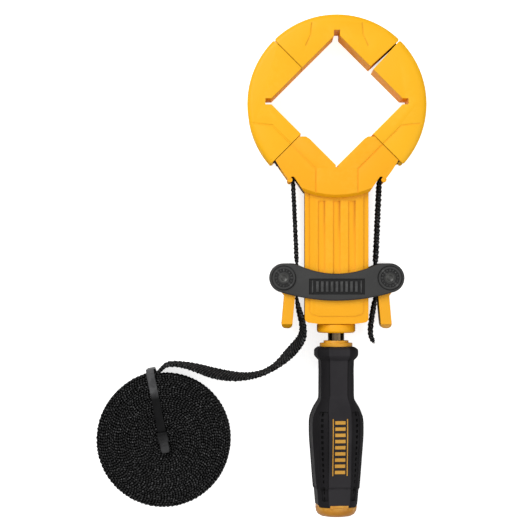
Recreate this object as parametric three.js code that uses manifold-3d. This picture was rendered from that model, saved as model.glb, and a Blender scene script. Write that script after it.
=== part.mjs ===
// Ratchet band clamp, lying on its back: four 90 degree jaws in a ring, drawn together by a webbing
// band whose two ends are pinched by cam levers in a yoke. A handle turns a lead screw that pulls
// the yoke, and so the band, along the housing. Millimetres, +Z up off the table, +Y to the ring,
// the screw's axis over the Y axis, the origin under the middle of the tool's length.
import * as THREE from "three";
import { mergeVertices } from "three/addons/utils/BufferGeometryUtils.js";
import Module from "manifold-3d";

const wasm = await Module();
wasm.setup();

// Driving dimensions of the whole tool
const jawThickness = 37;
const ringRadius = 56.1;
const bodyEndDrop = 137.8; // from the ring's centre to the housing's lower end
const collarLength = 5.8;
const shaftGap = 4.9; // bare shaft between the collar and the handle
const handleLength = 111.4;
const midHeight = jawThickness / 2;
const toolLength = ringRadius + bodyEndDrop + collarLength + shaftGap + handleLength;
const ringCentreY = toolLength / 2 - ringRadius;
const bodyEndY = ringCentreY - bodyEndDrop;
const collarEndY = bodyEndY - collarLength;
const handleTopY = collarEndY - shaftGap;
const handleEndY = -toolLength / 2;

// Clearances and the overrun of cuts
const seatGap = 0.3;
const slideGap = 0.4;
const splitGap = 0.2;
const cutOver = 2;

// Webbing band
const bandWidth = 25.4;
const bandThickness = 1.2;
const bandSidePlay = 0.5;
const bandSink = 3.8; // the band's middle below the ring's rim
const bandRadius = ringRadius - bandSink;
const lipBarRadius = 1.2;
const lipSpread = 4.5; // the lip bar outside the band's place in the yoke
const bendStepDegrees = 15;
const bandBendRadius = lipBarRadius + seatGap + bandThickness / 2;
const arcStepDegrees = 3;

// Jaws
const holeRise = 1.6; // the square hole's centre above the ring's centre
const jawDepth = 25.8; // from a jaw's face to the ring's rim
const holeHalfWidth = ringRadius - jawDepth; // from the hole's centre to a jaw face
const fixedJawProud = 1.65;
const upperSeamRise = 0.7;
const lowerSeamRise = 3.5;
const seamGap = 0.4;
const looseSeamGap = 2.6; // the top jaw stands this far off the right jaw at the hole
const rimShoulderWidth = 3.2; // the round shoulder along the jaws' outer edge
const rimShoulderDrop = 0.5;
const rimEdge = 1.2;
const seamCorner = 0.9;
const faceCorner = 1.6; // off the jaw faces' corners beside the lower seams
const reliefWidth = 3.8;
const reliefDepth = 1.9;
const fixedReliefWidth = 1.5;
const fixedReliefDepth = 0.6;
const padDepth = 8.9; // from a jaw's face to the step behind its clamping pad
const padLineDistance = holeHalfWidth + padDepth;
const padLineDepth = 0.5;
const padLineWidth = 0.9;
const padShoulderReach = 16.3;
const padRimRise = 1.8; // the step's climb from its shoulder to the rim
const creaseWidth = 0.8;
const creaseDepth = 0.3;
// The creases on the top jaw, as [out from the axis, above the ring's centre].
const topCrease = [
  [15.8, 50.4],
  [16.4, 43.4],
  [19.4, 36.8],
];

// Housing
const bodyWidth = 40;
const bodyThickness = 26.4;
const borderDrop = 0.7;
const borderWidth = 3.2; // beside the raised panel
const panelWidth = bodyWidth - 2 * borderWidth;
const panelEndMargin = 5;
const panelCorner = 3;
const bodyCorner = 2.8;
const cornerStepDegrees = 22;
const bodyBulge = 0.8;
const bodyOverlap = 12; // the narrow body's reach up into the fixed jaw
const shelfStep = 1.5; // the fixed jaw's flat shelf below the corner of the jaw beside it
const flankSink = 3.9; // the flank's start below the ring's rim
const flankStartRadius = ringRadius - flankSink;
const flankBulge = 0.4;
const lipBossRadius = 1.6;
const notchRise = 2;
const notchHalfWidth = 0.9;
const heelOverhang = 2.5; // the jaw's round heel beyond the ring's rim, over the body
const heelRadius = ringRadius + heelOverhang;
const heelChamferWidth = 1.8;
const heelChamferDrop = 2;
const ventCount = 3;
const ventWidth = 4.6;
const ventPitch = 9.5;
const ventDepth = 1;
const ventTopGap = 1.8; // below the heel
const ventTopDrop = heelRadius + ventTopGap;
const ventLength = 58;

// Lead screw, its bearings and the nut
const shaftRadius = 5.15;
const threadRadius = 5;
const screwPitch = 3;
const tipRadius = 4;
const tipLength = 7;
const screwFlangeRadius = 7.6;
const screwFlangeThickness = 2.2;
const washerThickness = 1.5;
const bushWall = 3;
const bushShoulder = 1.2; // housing between the nut's channel and the bush
const bushLength = 6;
const collarRadius = 12.2;
const collarChamfer = 1;
const collarRimRadius = 8.4;
const collarRimThickness = 1.6;
const collarNeckRadius = 7;
const collarWall = 1.9; // the housing wall that the collar's neck passes through
const nutBlockWidth = 20;
const nutHeight = 12;
const nutBlockThickness = 15;
const wingThickness = 8;
const wingEndCover = 1.4; // anvil left beyond the nut's wings
const travelUp = 38;
const travelDown = 9.5;

// Yoke
const pivotDrop = 108.85; // from the ring's centre to the lever pivots
const yokeEndRadius = 9.2;
const yokeSag = 14.3; // the yoke's lower edge below the pivots, at the middle
const yokeDip = 2.7; // the yoke's upper edge above the pivots, at the middle
const yokePlateThickness = 3.4;
const yokeEdge = 1.2;
const yokeEndStepDegrees = 12;
const dialRadius = 7.3;
const dialHeight = 1.2;
const anvilThickness = 3.6; // the wall that each cam presses its band against
const anvilHeight = 15;
const plaqueWidth = 35;
const plaqueHeight = 10;
const plaqueDepth = 0.8;
const plaqueRise = 0.4; // the plaque's middle above the yoke's middle height
const plaqueBarCount = 9;
const plaqueBarWidth = 1.9;
const plaqueBarShare = 0.62; // of the plaque's height

// Cam levers, pins and springs
const pinRadius = 2.6;
const pinHeadRadius = 3.1;
const pinHeadHeight = 0.9;
const pinPlay = 0.2;
const camHubRadius = 6.4;
const camFaceRadius = 7.25;
const camRisePerDegree = 0.022;
const camToothHeight = 0.5;
const camToothDegrees = 8;
const camToothFrom = -36;
const camToothTo = 68;
const camToothShare = 0.8; // of a tooth's step, on its long flank
const camBandGap = 0.45; // between a cam's teeth and its band, at rest
const hubFromDegrees = 220;
const hubStepDegrees = 15;
const tipStepDegrees = 22.5;
const tailLength = 31.8;
const tailWidth = 6.9;
const tailRootOffset = 3.65; // the tail's middle line off the pivot, towards the band, at its root
const tailTipOffset = 2;
const tailRootDrop = 11.3;
const tailTipRound = 2.6;
const springPocketRadius = 5;
const springPocketDepth = 6.2;
const springWire = 0.9;
const springRadius = 3.95;
const springPitch = 1.4;
const springTurns = 3;
const springStepsPerTurn = 8;

// Handle
const bezelRadius = 10.4;
const bezelLength = 3.7;
const bezelStepRadius = 7.9;
const bezelStepLength = 1.5;
const gripRadius = 18.1;
const gripEndMargin = 6.6; // of yellow cap below the grip
const capRadius = 13.2;
const coreNeckRadius = 9;
const coreBellyRadius = 12.4;
const coreNeckShare = 0.36; // down the grip's length, the end of the core's narrow neck
const coreBellyShare = 0.5; // the belly's upper end
const coreHipShare = 0.64; // and its lower end
const shaftDepth = 46;
const crossPinRadius = 1.5;
const crossPinDrop = 28;
const flatWidth = 12.4;
const handleRestTurn = 8;
const gripSides = 32;
const tabWidth = 11.6;
const tabRise = 1.6;

// The end cap's outline from its middle up, as shares of its radius and of its height.
const capProfileShares = [
  [0.46, 0],
  [0.72, 0.09],
  [0.89, 0.3],
  [0.975, 0.62],
  [1, 1],
];

// Roll of spare band and its tie
const rollRadius = 43;
const rollBore = 4.2;
const rollTurns = 23;
const rollStepsPerTurn = 24;
const rollOut = 83.9; // the roll's middle outside the band's foot in the yoke
const rollDown = 90.95; // and below it
const rollLeadIn = 1.2;
const rollStartDegrees = 98;
const tieWidth = 5;
const tieThickness = 1.2;
const tieDegrees = 101.3;
const tieHeadOut = 2; // the head's middle off the roll's middle, along the strap
const tieHeadLength = 6.2;
const tieHeadWidth = 6.4;
const tieHeadHeight = 3.4;
const tieTailLength = 6.9;

// Loose webbing, as [out from the foot of the yoke, down from it, sunk below the middle, lean in degrees]
const bandFootDrop = 11.3;
const tailRoute = [
  [0.1, 1.5, 0, 0],
  [-0.5, 3.8, 0, 0],
  [-1.1, 7.6, 0, 0],
  [-2, 12, 0, 0],
  [-2.9, 16, 0.1, 0],
  [-3.6, 20, 0.1, 0],
  [-3.9, 23, 0.2, 0],
  [-3.2, 26.2, 0.3, 0],
  [-2, 28.8, 0.4, 0],
];
const freeRoute = [
  [0.1, 1.5, 0, 0],
  [-0.1, 3.8, 0, 0],
  [-0.8, 7.6, 0.1, 0],
  [-1.5, 11.4, 0.2, 0],
  [-2.3, 15.2, 0.3, 1],
  [-2.9, 19, 0.4, 2],
  [-3, 22.8, 0.5, 3],
  [-2.3, 26.8, 0.7, 5],
  [0.2, 30.8, 0.9, 8],
  [3.2, 34.5, 1.2, 9],
  [6.5, 38.2, 1.5, 9],
  [10.3, 42.1, 1.8, 7],
  [15.7, 46.3, 2.1, 5],
  [22.4, 49.8, 2.4, 4],
  [32.5, 51.6, 2.8, 6],
  [43.1, 51.1, 3.1, 8],
  [53.1, 49.2, 3.4, 7],
  [62.1, 46.3, 3.6, 4],
  [69.7, 44.3, 3.8, 2],
  [76.3, 43.4, 3.9, 1],
  [80.5, 43.3, 4, 0],
  [83.6, 44.4, 4.1, 0],
  [85.8, 46.5, 4.2, 0],
  [87.2, 48.1, 4.3, 0],
];

// Housing screws: place as [x, drop from the ring's centre], and the face that the head sinks into
const screwShankRadius = 1.45;
const screwHeadRadius = 2.75;
const screwHeadHeight = 1.9;
const screwLength = 20;
const shortScrewLength = 15;
const armScrewSink = 15; // below the ring's rim
const armScrewDegrees = 49; // down from level, round the ring's centre
const heelScrewSink = 4.7;
const heelScrewInset = 5.4; // from the body's side
const footScrewInset = 4.4;
const footScrewRise = 5.2; // above the body's end

const root2 = Math.SQRT2;
const degree = Math.PI / 180;
const flangeThickness = (jawThickness - bandWidth) / 2 - bandSidePlay;
const grooveRadius = bandRadius - bandThickness / 2 - seatGap;
const holeCentreY = ringCentreY + holeRise;
const bodyHalf = bodyThickness / 2;
const bodyTopZ = midHeight + bodyHalf;
const bodyBottomZ = midHeight - bodyHalf;
const bandTopZ = midHeight + bandWidth / 2;
const yokeInnerX = bodyWidth / 2 + slideGap;
const anvilFaceX = yokeInnerX + anvilThickness;
const bandInYokeX = anvilFaceX + seatGap + bandThickness / 2;
const pivotX = bandInYokeX + bandThickness / 2 + camBandGap + camFaceRadius;
const wingReach = anvilFaceX - wingEndCover;
const lipBarX = bandInYokeX + lipSpread;
const shelfDrop = (holeHalfWidth * root2 - lowerSeamRise - holeRise) / 2 + shelfStep;
const armScrewReach = ringRadius - armScrewSink;
const armScrew = [
  armScrewReach * Math.cos(armScrewDegrees * degree),
  armScrewReach * Math.sin(armScrewDegrees * degree),
];
const heelScrew = [bodyWidth / 2 - heelScrewInset, ringRadius - heelScrewSink];
const footScrew = [bodyWidth / 2 - footScrewInset, bodyEndDrop - footScrewRise];
const bandBottomZ = midHeight - bandWidth / 2;

// Solids

function solidOf(geometry) {
  const bare = geometry.index ? geometry.toNonIndexed() : geometry.clone();
  bare.deleteAttribute("normal");
  bare.deleteAttribute("uv");
  const merged = mergeVertices(bare, 1e-4);
  return new wasm.Manifold(
    new wasm.Mesh({
      numProp: 3,
      vertProperties: merged.attributes.position.array,
      triVerts: new Uint32Array(merged.index.array),
    }),
  );
}

function geometryOf(solid) {
  const made = solid.getMesh();
  const geometry = new THREE.BufferGeometry();
  geometry.setAttribute("position", new THREE.BufferAttribute(new Float32Array(made.vertProperties), 3));
  geometry.setIndex(new THREE.BufferAttribute(new Uint32Array(made.triVerts), 1));
  const faceted = geometry.toNonIndexed();
  faceted.computeVertexNormals();
  return faceted;
}

function joined(solids) {
  return solids.reduce((whole, next) => whole.add(next));
}

function cutBy(solid, cutters) {
  return cutters.reduce((whole, next) => whole.subtract(next), solid);
}

function box(lowX, highX, lowY, highY, lowZ, highZ) {
  const geometry = new THREE.BoxGeometry(highX - lowX, highY - lowY, highZ - lowZ);
  geometry.translate((lowX + highX) / 2, (lowY + highY) / 2, (lowZ + highZ) / 2);
  return solidOf(geometry);
}

// A flat outline in XY, given depth from lowZ to highZ, with an optional chamfer on both faces.
function slab(shape, lowZ, highZ, chamfer = 0) {
  const geometry = new THREE.ExtrudeGeometry(shape, {
    depth: highZ - lowZ - 2 * chamfer,
    bevelEnabled: chamfer > 0,
    bevelThickness: chamfer,
    bevelSize: chamfer,
    bevelOffset: -chamfer,
    bevelSegments: 1,
  });
  geometry.translate(0, 0, lowZ + chamfer);
  return solidOf(geometry);
}

function outline(points) {
  return new THREE.Shape(points.map(([x, y]) => new THREE.Vector2(x, y)));
}

// The same outline drawn on both sides of the Y axis, from its right half given from top to bottom.
function mirroredOutline(rightHalf) {
  const leftHalf = rightHalf.filter(([x]) => x > 0).map(([x, y]) => [-x, y]);
  return outline([...rightHalf, ...leftHalf.reverse()]);
}

function arcPoints(centreX, centreY, radius, fromDegrees, toDegrees, step = arcStepDegrees) {
  const count = Math.max(1, Math.round(Math.abs(toDegrees - fromDegrees) / step));
  return Array.from({ length: count + 1 }, (_, i) => {
    const angle = (fromDegrees + ((toDegrees - fromDegrees) * i) / count) * degree;
    return [centreX + radius * Math.cos(angle), centreY + radius * Math.sin(angle)];
  });
}

// A profile of [radius, along] pairs turned about the screw's axis.
function turnedAlongY(profile, segments = 24) {
  const geometry = new THREE.LatheGeometry(
    profile.map(([radius, along]) => new THREE.Vector2(radius, along)),
    segments,
  );
  geometry.translate(0, 0, midHeight);
  return solidOf(geometry);
}

// A profile of [radius, height] pairs turned about an upright axis at x, y.
function turnedUpright(profile, x, y, segments = 20) {
  const geometry = new THREE.LatheGeometry(
    profile.map(([radius, height]) => new THREE.Vector2(radius, height)),
    segments,
  );
  geometry.rotateX(Math.PI / 2);
  geometry.translate(x, y, 0);
  return solidOf(geometry);
}

function uprightRod(radius, x, y, lowZ, highZ, segments = 20) {
  return turnedUpright([[0, lowZ], [radius, lowZ], [radius, highZ], [0, highZ]], x, y, segments);
}

function rodAlongY(radius, lowY, highY, segments = 24) {
  return turnedAlongY([[0, lowY], [radius, lowY], [radius, highY], [0, highY]], segments);
}

// A strip of band: its middle line as [x, y, z, lean in degrees], standing on edge.
function strip(stations, width = bandWidth, thickness = bandThickness) {
  const corners = [];
  stations.forEach(([x, y, z, lean = 0], i) => {
    const [beforeX, beforeY] = stations[Math.max(0, i - 1)];
    const [afterX, afterY] = stations[Math.min(stations.length - 1, i + 1)];
    const along = Math.hypot(afterX - beforeX, afterY - beforeY);
    const sideX = -(afterY - beforeY) / along;
    const sideY = (afterX - beforeX) / along;
    const [leanCos, leanSin] = [Math.cos(lean * degree), Math.sin(lean * degree)];
    [[-1, -1], [1, -1], [1, 1], [-1, 1]].forEach(([side, rise]) => {
      const out = (side * thickness * leanCos) / 2 + (rise * width * leanSin) / 2;
      const up = (rise * width * leanCos) / 2 - (side * thickness * leanSin) / 2;
      corners.push(x + sideX * out, y + sideY * out, z + up);
    });
  });
  const faces = [];
  for (let i = 0; i < stations.length - 1; i += 1) {
    for (let k = 0; k < 4; k += 1) {
      const [a, b] = [4 * i + k, 4 * i + ((k + 1) % 4)];
      faces.push(a, b, b + 4, a, b + 4, a + 4);
    }
  }
  const last = 4 * (stations.length - 1);
  faces.push(0, 2, 1, 0, 3, 2, last, last + 1, last + 2, last, last + 2, last + 3);
  const geometry = new THREE.BufferGeometry();
  geometry.setAttribute("position", new THREE.Float32BufferAttribute(corners, 3));
  geometry.setIndex(faces);
  const solid = solidOf(geometry);
  return solid.volume() > 0 ? solid : solidOf(turnedInsideOut(geometry));
}

function turnedInsideOut(geometry) {
  const index = Array.from(geometry.index.array);
  for (let i = 0; i < index.length; i += 3) [index[i + 1], index[i + 2]] = [index[i + 2], index[i + 1]];
  geometry.setIndex(index);
  return geometry;
}

// Materials
function finish(color, roughness, metalness) {
  return () => new THREE.MeshStandardMaterial({ color, roughness, metalness });
}

const yellowPlastic = finish(0xf2b21c, 0.45, 0);
const greyPlastic = finish(0x3c3e42, 0.6, 0);
const blackRubber = finish(0x1b1c1e, 0.75, 0);
const steel = finish(0x55585c, 0.35, 0.9);
const brightSteel = finish(0xb4b6b8, 0.3, 0.9);
const bronze = finish(0x9a7440, 0.4, 0.8);
const webbing = finish(0x17181a, 0.9, 0);
const nylonTie = finish(0x4a4c50, 0.4, 0);

const clamp = new THREE.Group();
clamp.name = "ratchet_band_clamp";

function addPiece(name, solid, material) {
  const mesh = new THREE.Mesh(geometryOf(solid), material());
  mesh.name = name;
  clamp.add(mesh);
}

// Ring of jaws

// The ring as a solid wheel with the band's groove round it.
function grooveWheel() {
  const top = jawThickness;
  return turnedUpright(
    [
      [0, 0],
      [ringRadius - rimShoulderWidth, 0],
      [ringRadius - rimEdge, rimShoulderDrop],
      [ringRadius, rimShoulderDrop + rimEdge],
      [ringRadius, flangeThickness],
      [grooveRadius, flangeThickness],
      [grooveRadius, top - flangeThickness],
      [ringRadius, top - flangeThickness],
      [ringRadius, top - rimShoulderDrop - rimEdge],
      [ringRadius - rimEdge, top - rimShoulderDrop],
      [ringRadius - rimShoulderWidth, top],
      [0, top],
    ],
    0,
    ringCentreY,
    96,
  );
}

// A seam runs at 45 degrees out of a point on the tool's axis. Each jaw keeps to its side of two.
// Its gap is stated at the hole, and closes to the least gap at the rim.
const seams = {
  upperLeft: { rise: upperSeamRise, degrees: 135, gap: seamGap },
  upperRight: { rise: upperSeamRise, degrees: 45, gap: looseSeamGap },
  lowerLeft: { rise: lowerSeamRise, degrees: 225, gap: seamGap },
  lowerRight: { rise: lowerSeamRise, degrees: -45, gap: seamGap },
};

// How far out along a seam a circle round the ring's centre crosses it.
function seamReach(seam, radius) {
  const angle = seam.degrees * degree;
  const across = seam.rise * Math.cos(angle);
  return Math.sqrt(radius ** 2 - across ** 2) - seam.rise * Math.sin(angle);
}

// The point on a seam at a distance out along it, moved off it by half its gap and an extra, anticlockwise.
function seamPoint(seam, out, side, extra = 0) {
  const angle = seam.degrees * degree;
  const rimShare = (out - holeHalfWidth) / (ringRadius - holeHalfWidth);
  const gap = seam.gap + (seamGap - seam.gap) * rimShare;
  const off = side * (gap / 2 + extra);
  return [
    out * Math.cos(angle) - off * Math.sin(angle),
    ringCentreY + seam.rise + out * Math.sin(angle) + off * Math.cos(angle),
  ];
}

// Everything between two seams, out past the ring, with its outer corners taken off.
function sector(first, second, corner = seamCorner) {
  const far = ringRadius + cutOver;
  const withinHole = holeHalfWidth / 2;
  const widest = ringRadius * root2;
  const middle = ((first.degrees + second.degrees) / 2) * degree;
  return outline([
    seamPoint(first, withinHole, 1),
    seamPoint(first, seamReach(first, ringRadius) - corner, 1),
    seamPoint(first, seamReach(first, far), 1, corner + cutOver),
    [widest * Math.cos(middle), ringCentreY + widest * Math.sin(middle)],
    seamPoint(second, seamReach(second, far), -1, corner + cutOver),
    seamPoint(second, seamReach(second, ringRadius) - corner, -1),
    seamPoint(second, withinHole, -1),
  ]);
}

// The square that the jaws close on, standing on its corner.
function holeSquare(halfWidth) {
  const reach = halfWidth * root2;
  const shape = outline([
    [reach, holeCentreY],
    [0, holeCentreY + reach],
    [-reach, holeCentreY],
    [0, holeCentreY - reach],
  ]);
  return slab(shape, -cutOver, jawThickness + cutOver);
}

function reliefSlot(directionDegrees, halfWidth, width, depth) {
  const apex = halfWidth * root2;
  const geometry = new THREE.BoxGeometry(depth + width, width, jawThickness + 2 * cutOver);
  geometry.translate(apex + depth - (depth + width) / 2, 0, midHeight);
  geometry.rotateZ(directionDegrees * degree);
  geometry.translate(0, holeCentreY, 0);
  return solidOf(geometry);
}

// A shallow square groove drawn on both faces of a jaw along a bent line.
function faceGroove(line, width, depth, lowFace, highFace) {
  const strokes = [];
  for (let i = 0; i < line.length - 1; i += 1) {
    const [[ax, ay], [bx, by]] = [line[i], line[i + 1]];
    const length = Math.hypot(bx - ax, by - ay);
    [lowFace, highFace].forEach((face) => {
      const geometry = new THREE.BoxGeometry(length + width, width, 2 * depth);
      geometry.rotateZ(Math.atan2(by - ay, bx - ax));
      geometry.translate((ax + bx) / 2, (ay + by) / 2, face);
      strokes.push(solidOf(geometry));
    });
  }
  return joined(strokes);
}

// The step behind a side jaw's pad: out of the seam, alongside the face, then off to the rim.
const padLineStart = seamPoint(seams.lowerRight, padLineDistance + (lowerSeamRise - holeRise) / root2, 1);

function padStepLine(side) {
  const along = padShoulderReach / root2;
  const shoulder = [padLineStart[0] + along, padLineStart[1] + along];
  const rim = [ringRadius + cutOver, shoulder[1] + padRimRise];
  const nearSeam = [padLineStart[0] - seamCorner, padLineStart[1] - seamCorner];
  return [nearSeam, shoulder, rim].map(([x, y]) => [side * x, y]);
}

function topCreaseLine(side) {
  return topCrease.map(([out, above]) => [side * out, ringCentreY + above]);
}

function makeLooseJaws() {
  const wheel = grooveWheel();
  const hole = holeSquare(holeHalfWidth);
  const jaws = [
    { name: "left_jaw", first: seams.upperLeft, second: seams.lowerLeft, degrees: 180, side: -1 },
    { name: "top_jaw", first: seams.upperRight, second: seams.upperLeft, degrees: 90, side: 0 },
    { name: "right_jaw", first: seams.lowerRight, second: seams.upperRight, degrees: 0, side: 1 },
  ];
  const bandRing = strip(
    arcPoints(0, ringCentreY, bandRadius, -60, 240).map(([x, y]) => [x, y, midHeight]),
  );
  jaws.forEach(({ name, first, second, degrees, side }) => {
    const wedge = slab(sector(first, second), -cutOver, jawThickness + cutOver);
    const cutters = [hole, reliefSlot(degrees, holeHalfWidth, reliefWidth, reliefDepth)];
    if (side) {
      cutters.push(faceGroove(padStepLine(side), padLineWidth, padLineDepth, 0, jawThickness));
    } else {
      cutters.push(...[-1, 1].map((crease) =>
        faceGroove(topCreaseLine(crease), creaseWidth, creaseDepth, 0, jawThickness),
      ));
    }
    addPiece(name, cutBy(wheel.intersect(wedge), cutters), yellowPlastic);
    const bandWedge = slab(sector(first, second, 0), -cutOver, jawThickness + cutOver);
    addPiece("band_on_" + name, bandRing.intersect(bandWedge), webbing);
  });
}

// Housing

// The band's middle line from the lower seam, straight into the fixed jaw, round the lip bar and
// down to the yoke, on the right side.
const bandAtSeam = seamPoint(seams.lowerRight, seamReach(seams.lowerRight, bandRadius), -1);
const bendStartX = lipBarX - bandBendRadius / root2;
const bendStartY = bandAtSeam[1] - (bandAtSeam[0] - bendStartX);
const lipBarY = bendStartY - bandBendRadius / root2;
const bandRunX = lipBarX - bandBendRadius;
const pivotY = ringCentreY - pivotDrop;
const yokeTopY = pivotY + yokeEndRadius;
const bandFootY = pivotY - bandFootDrop;
const rollX = -bandInYokeX - rollOut;
const rollY = bandFootY - rollDown;

// The round heel from an x on the right to the tool's axis.
function heelArc(fromX) {
  const fromDegrees = -Math.acos(fromX / heelRadius) / degree;
  return arcPoints(0, ringCentreY, heelRadius, fromDegrees, -90);
}

const heelX = bodyWidth / 2 + 2 * seatGap;
const apexY = holeCentreY - (holeHalfWidth - fixedJawProud) * root2;
const shelfY = ringCentreY - shelfDrop;
const fixedSeamBase = ringCentreY + lowerSeamRise - seamGap / root2;

// From the V's bottom up to the flat shelf and out along the seam, common to flange and core.
function fixedJawFace() {
  return [
    [0, apexY],
    [shelfY - apexY - faceCorner, shelfY - faceCorner],
    [shelfY - apexY + faceCorner / 2, shelfY],
    [fixedSeamBase - shelfY, shelfY],
  ];
}

function fixedFlangeOutline() {
  const reach = fixedSeamBase - ringCentreY;
  const seamX = (reach + Math.sqrt(2 * flankStartRadius ** 2 - reach ** 2)) / 2;
  const seamEnd = [seamX, fixedSeamBase - seamX];
  const lip = [lipBarX + lipBossRadius / 2, lipBarY];
  const bulge = [
    (seamEnd[0] + lip[0]) / 2 + flankBulge,
    (seamEnd[1] + lip[1]) / 2 - flankBulge,
  ];
  const flank = new THREE.QuadraticBezierCurve(
    new THREE.Vector2(...seamEnd),
    new THREE.Vector2(...bulge),
    new THREE.Vector2(...lip),
  ).getPoints(8);
  return mirroredOutline([
    ...fixedJawFace(),
    ...flank.map(({ x, y }) => [x, y]),
    [bandRunX + notchHalfWidth, lipBarY + notchRise],
    [bandRunX - notchHalfWidth, lipBarY + notchRise],
    ...heelArc(heelX),
  ]);
}

function fixedCoreOutline() {
  const inside = bandThickness / 2 + seatGap;
  const start = [bandAtSeam[0] - inside / root2, bandAtSeam[1] + inside / root2];
  const run = start[0] - (bandRunX - inside);
  return mirroredOutline([
    ...fixedJawFace(),
    [start[0], fixedSeamBase - start[0]],
    [start[0] - run, start[1] - run],
    ...heelArc(heelX),
  ]);
}

function fixedJaw() {
  const heelWheel = turnedUpright(
    [
      [0, 0],
      [heelRadius - heelChamferWidth, 0],
      [heelRadius, heelChamferDrop],
      [heelRadius, jawThickness - heelChamferDrop],
      [heelRadius - heelChamferWidth, jawThickness],
      [0, jawThickness],
    ],
    0,
    ringCentreY,
    96,
  );
  const flanges = [
    slab(fixedFlangeOutline(), 0, flangeThickness),
    slab(fixedFlangeOutline(), jawThickness - flangeThickness, jawThickness),
  ];
  const body = joined([...flanges, slab(fixedCoreOutline(), 0, jawThickness)]).intersect(heelWheel);
  const lips = [-1, 1].map((side) =>
    turnedUpright(
      [
        [0, seatGap],
        [lipBossRadius, seatGap],
        [lipBossRadius, flangeThickness],
        [lipBarRadius, flangeThickness],
        [lipBarRadius, jawThickness - flangeThickness],
        [lipBossRadius, jawThickness - flangeThickness],
        [lipBossRadius, jawThickness - seatGap],
        [0, jawThickness - seatGap],
      ],
      side * lipBarX,
      lipBarY,
      16,
    ),
  );
  return cutBy(joined([body, ...lips]), [
    reliefSlot(-90, holeHalfWidth - fixedJawProud, fixedReliefWidth, fixedReliefDepth),
  ]);
}

// The housing's lower end, bowed a little, with round corners, on the right side.
function bodyOutline(halfWidth, endY, topY, corner, bulge) {
  const cornerArc = arcPoints(halfWidth - corner, endY + bulge + corner, corner, 0, -88, cornerStepDegrees);
  return mirroredOutline([
    [0, topY],
    [halfWidth, topY],
    ...cornerArc,
    [collarRadius - collarChamfer, endY],
    [0, endY],
  ]);
}

function narrowBody() {
  const topY = ringCentreY - ringRadius + bodyOverlap;
  const border = slab(
    bodyOutline(bodyWidth / 2, bodyEndY, topY, bodyCorner, bodyBulge),
    bodyBottomZ + borderDrop,
    bodyTopZ - borderDrop,
  );
  const panel = slab(
    bodyOutline(panelWidth / 2, bodyEndY + panelEndMargin, topY, panelCorner, bodyBulge),
    bodyBottomZ,
    bodyTopZ,
  );
  return border.add(panel);
}

// Three long shallow vents on each face, from under the jaw's heel to under the yoke.
function vents() {
  const topY = ringCentreY - ventTopDrop;
  const cuts = [];
  for (let i = 0; i < ventCount; i += 1) {
    const x = (i - (ventCount - 1) / 2) * ventPitch;
    const [lowX, highX] = [x - ventWidth / 2, x + ventWidth / 2];
    cuts.push(box(lowX, highX, topY - ventLength, topY, bodyTopZ - ventDepth, bodyTopZ + cutOver));
    cuts.push(box(lowX, highX, topY - ventLength, topY, bodyBottomZ - cutOver, bodyBottomZ + ventDepth));
  }
  return joined(cuts);
}

// Stations along the screw, from the collar up
const wallTopY = bodyEndY + collarWall;
const rimTopY = wallTopY + seatGap + collarRimThickness;
const flangeLowY = rimTopY + seatGap;
const flangeHighY = flangeLowY + screwFlangeThickness;
const washerHighY = flangeHighY + seatGap + washerThickness;
const ledgeY = washerHighY + seatGap;
const nutY = pivotY - (yokeSag - yokeDip) / 4;
const channelLowY = nutY - nutHeight / 2 - travelDown - slideGap;
const channelHighY = nutY + nutHeight / 2 + travelUp + slideGap;
const bushLowY = channelHighY + bushShoulder;
const bushHighY = bushLowY + bushLength;
const screwTipY = bushLowY - seatGap + tipLength;
const bushRadius = tipRadius + bushWall;
const channelHalfWidth = nutBlockWidth / 2 + slideGap;
const channelHalfHeight = nutBlockThickness / 2 + slideGap;
const wingSlotHalfHeight = wingThickness / 2 + slideGap;

function screwSpace() {
  const bore = rodAlongY(threadRadius + slideGap, ledgeY - cutOver, bushLowY + cutOver);
  const channel = box(
    -channelHalfWidth,
    channelHalfWidth,
    channelLowY,
    channelHighY,
    midHeight - channelHalfHeight,
    midHeight + channelHalfHeight,
  );
  const wingSlot = box(
    -bodyWidth,
    bodyWidth,
    channelLowY,
    channelHighY,
    midHeight - wingSlotHalfHeight,
    midHeight + wingSlotHalfHeight,
  );
  const bushSeat = rodAlongY(bushRadius + seatGap, bushLowY - seatGap, screwTipY + seatGap);
  const thrustPocket = rodAlongY(collarRimRadius + seatGap, wallTopY, ledgeY);
  const neckHole = rodAlongY(collarNeckRadius + seatGap, bodyEndY - cutOver, wallTopY + cutOver);
  return joined([bore, channel, wingSlot, bushSeat, thrustPocket, neckHole]);
}

const housingScrews = [
  ...[-1, 1].map((side) => ({ x: side * armScrew[0], drop: armScrew[1], face: 0, length: screwLength })),
  ...[-1, 1].map((side) => ({ x: side * heelScrew[0], drop: heelScrew[1], face: 0, length: screwLength })),
  ...[-1, 1].map((side) => ({
    x: side * footScrew[0],
    drop: footScrew[1],
    face: bodyBottomZ,
    length: shortScrewLength,
  })),
];

function screwProfile(face, length, play) {
  const headTop = face + screwHeadHeight + seatGap;
  return [
    [0, face + seatGap - (play ? cutOver : 0)],
    [screwHeadRadius + play, face + seatGap - (play ? cutOver : 0)],
    [screwHeadRadius + play, headTop + play],
    [screwShankRadius + play, headTop + play],
    [screwShankRadius + play, face + length + play],
    [0, face + length + play],
  ];
}

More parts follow.
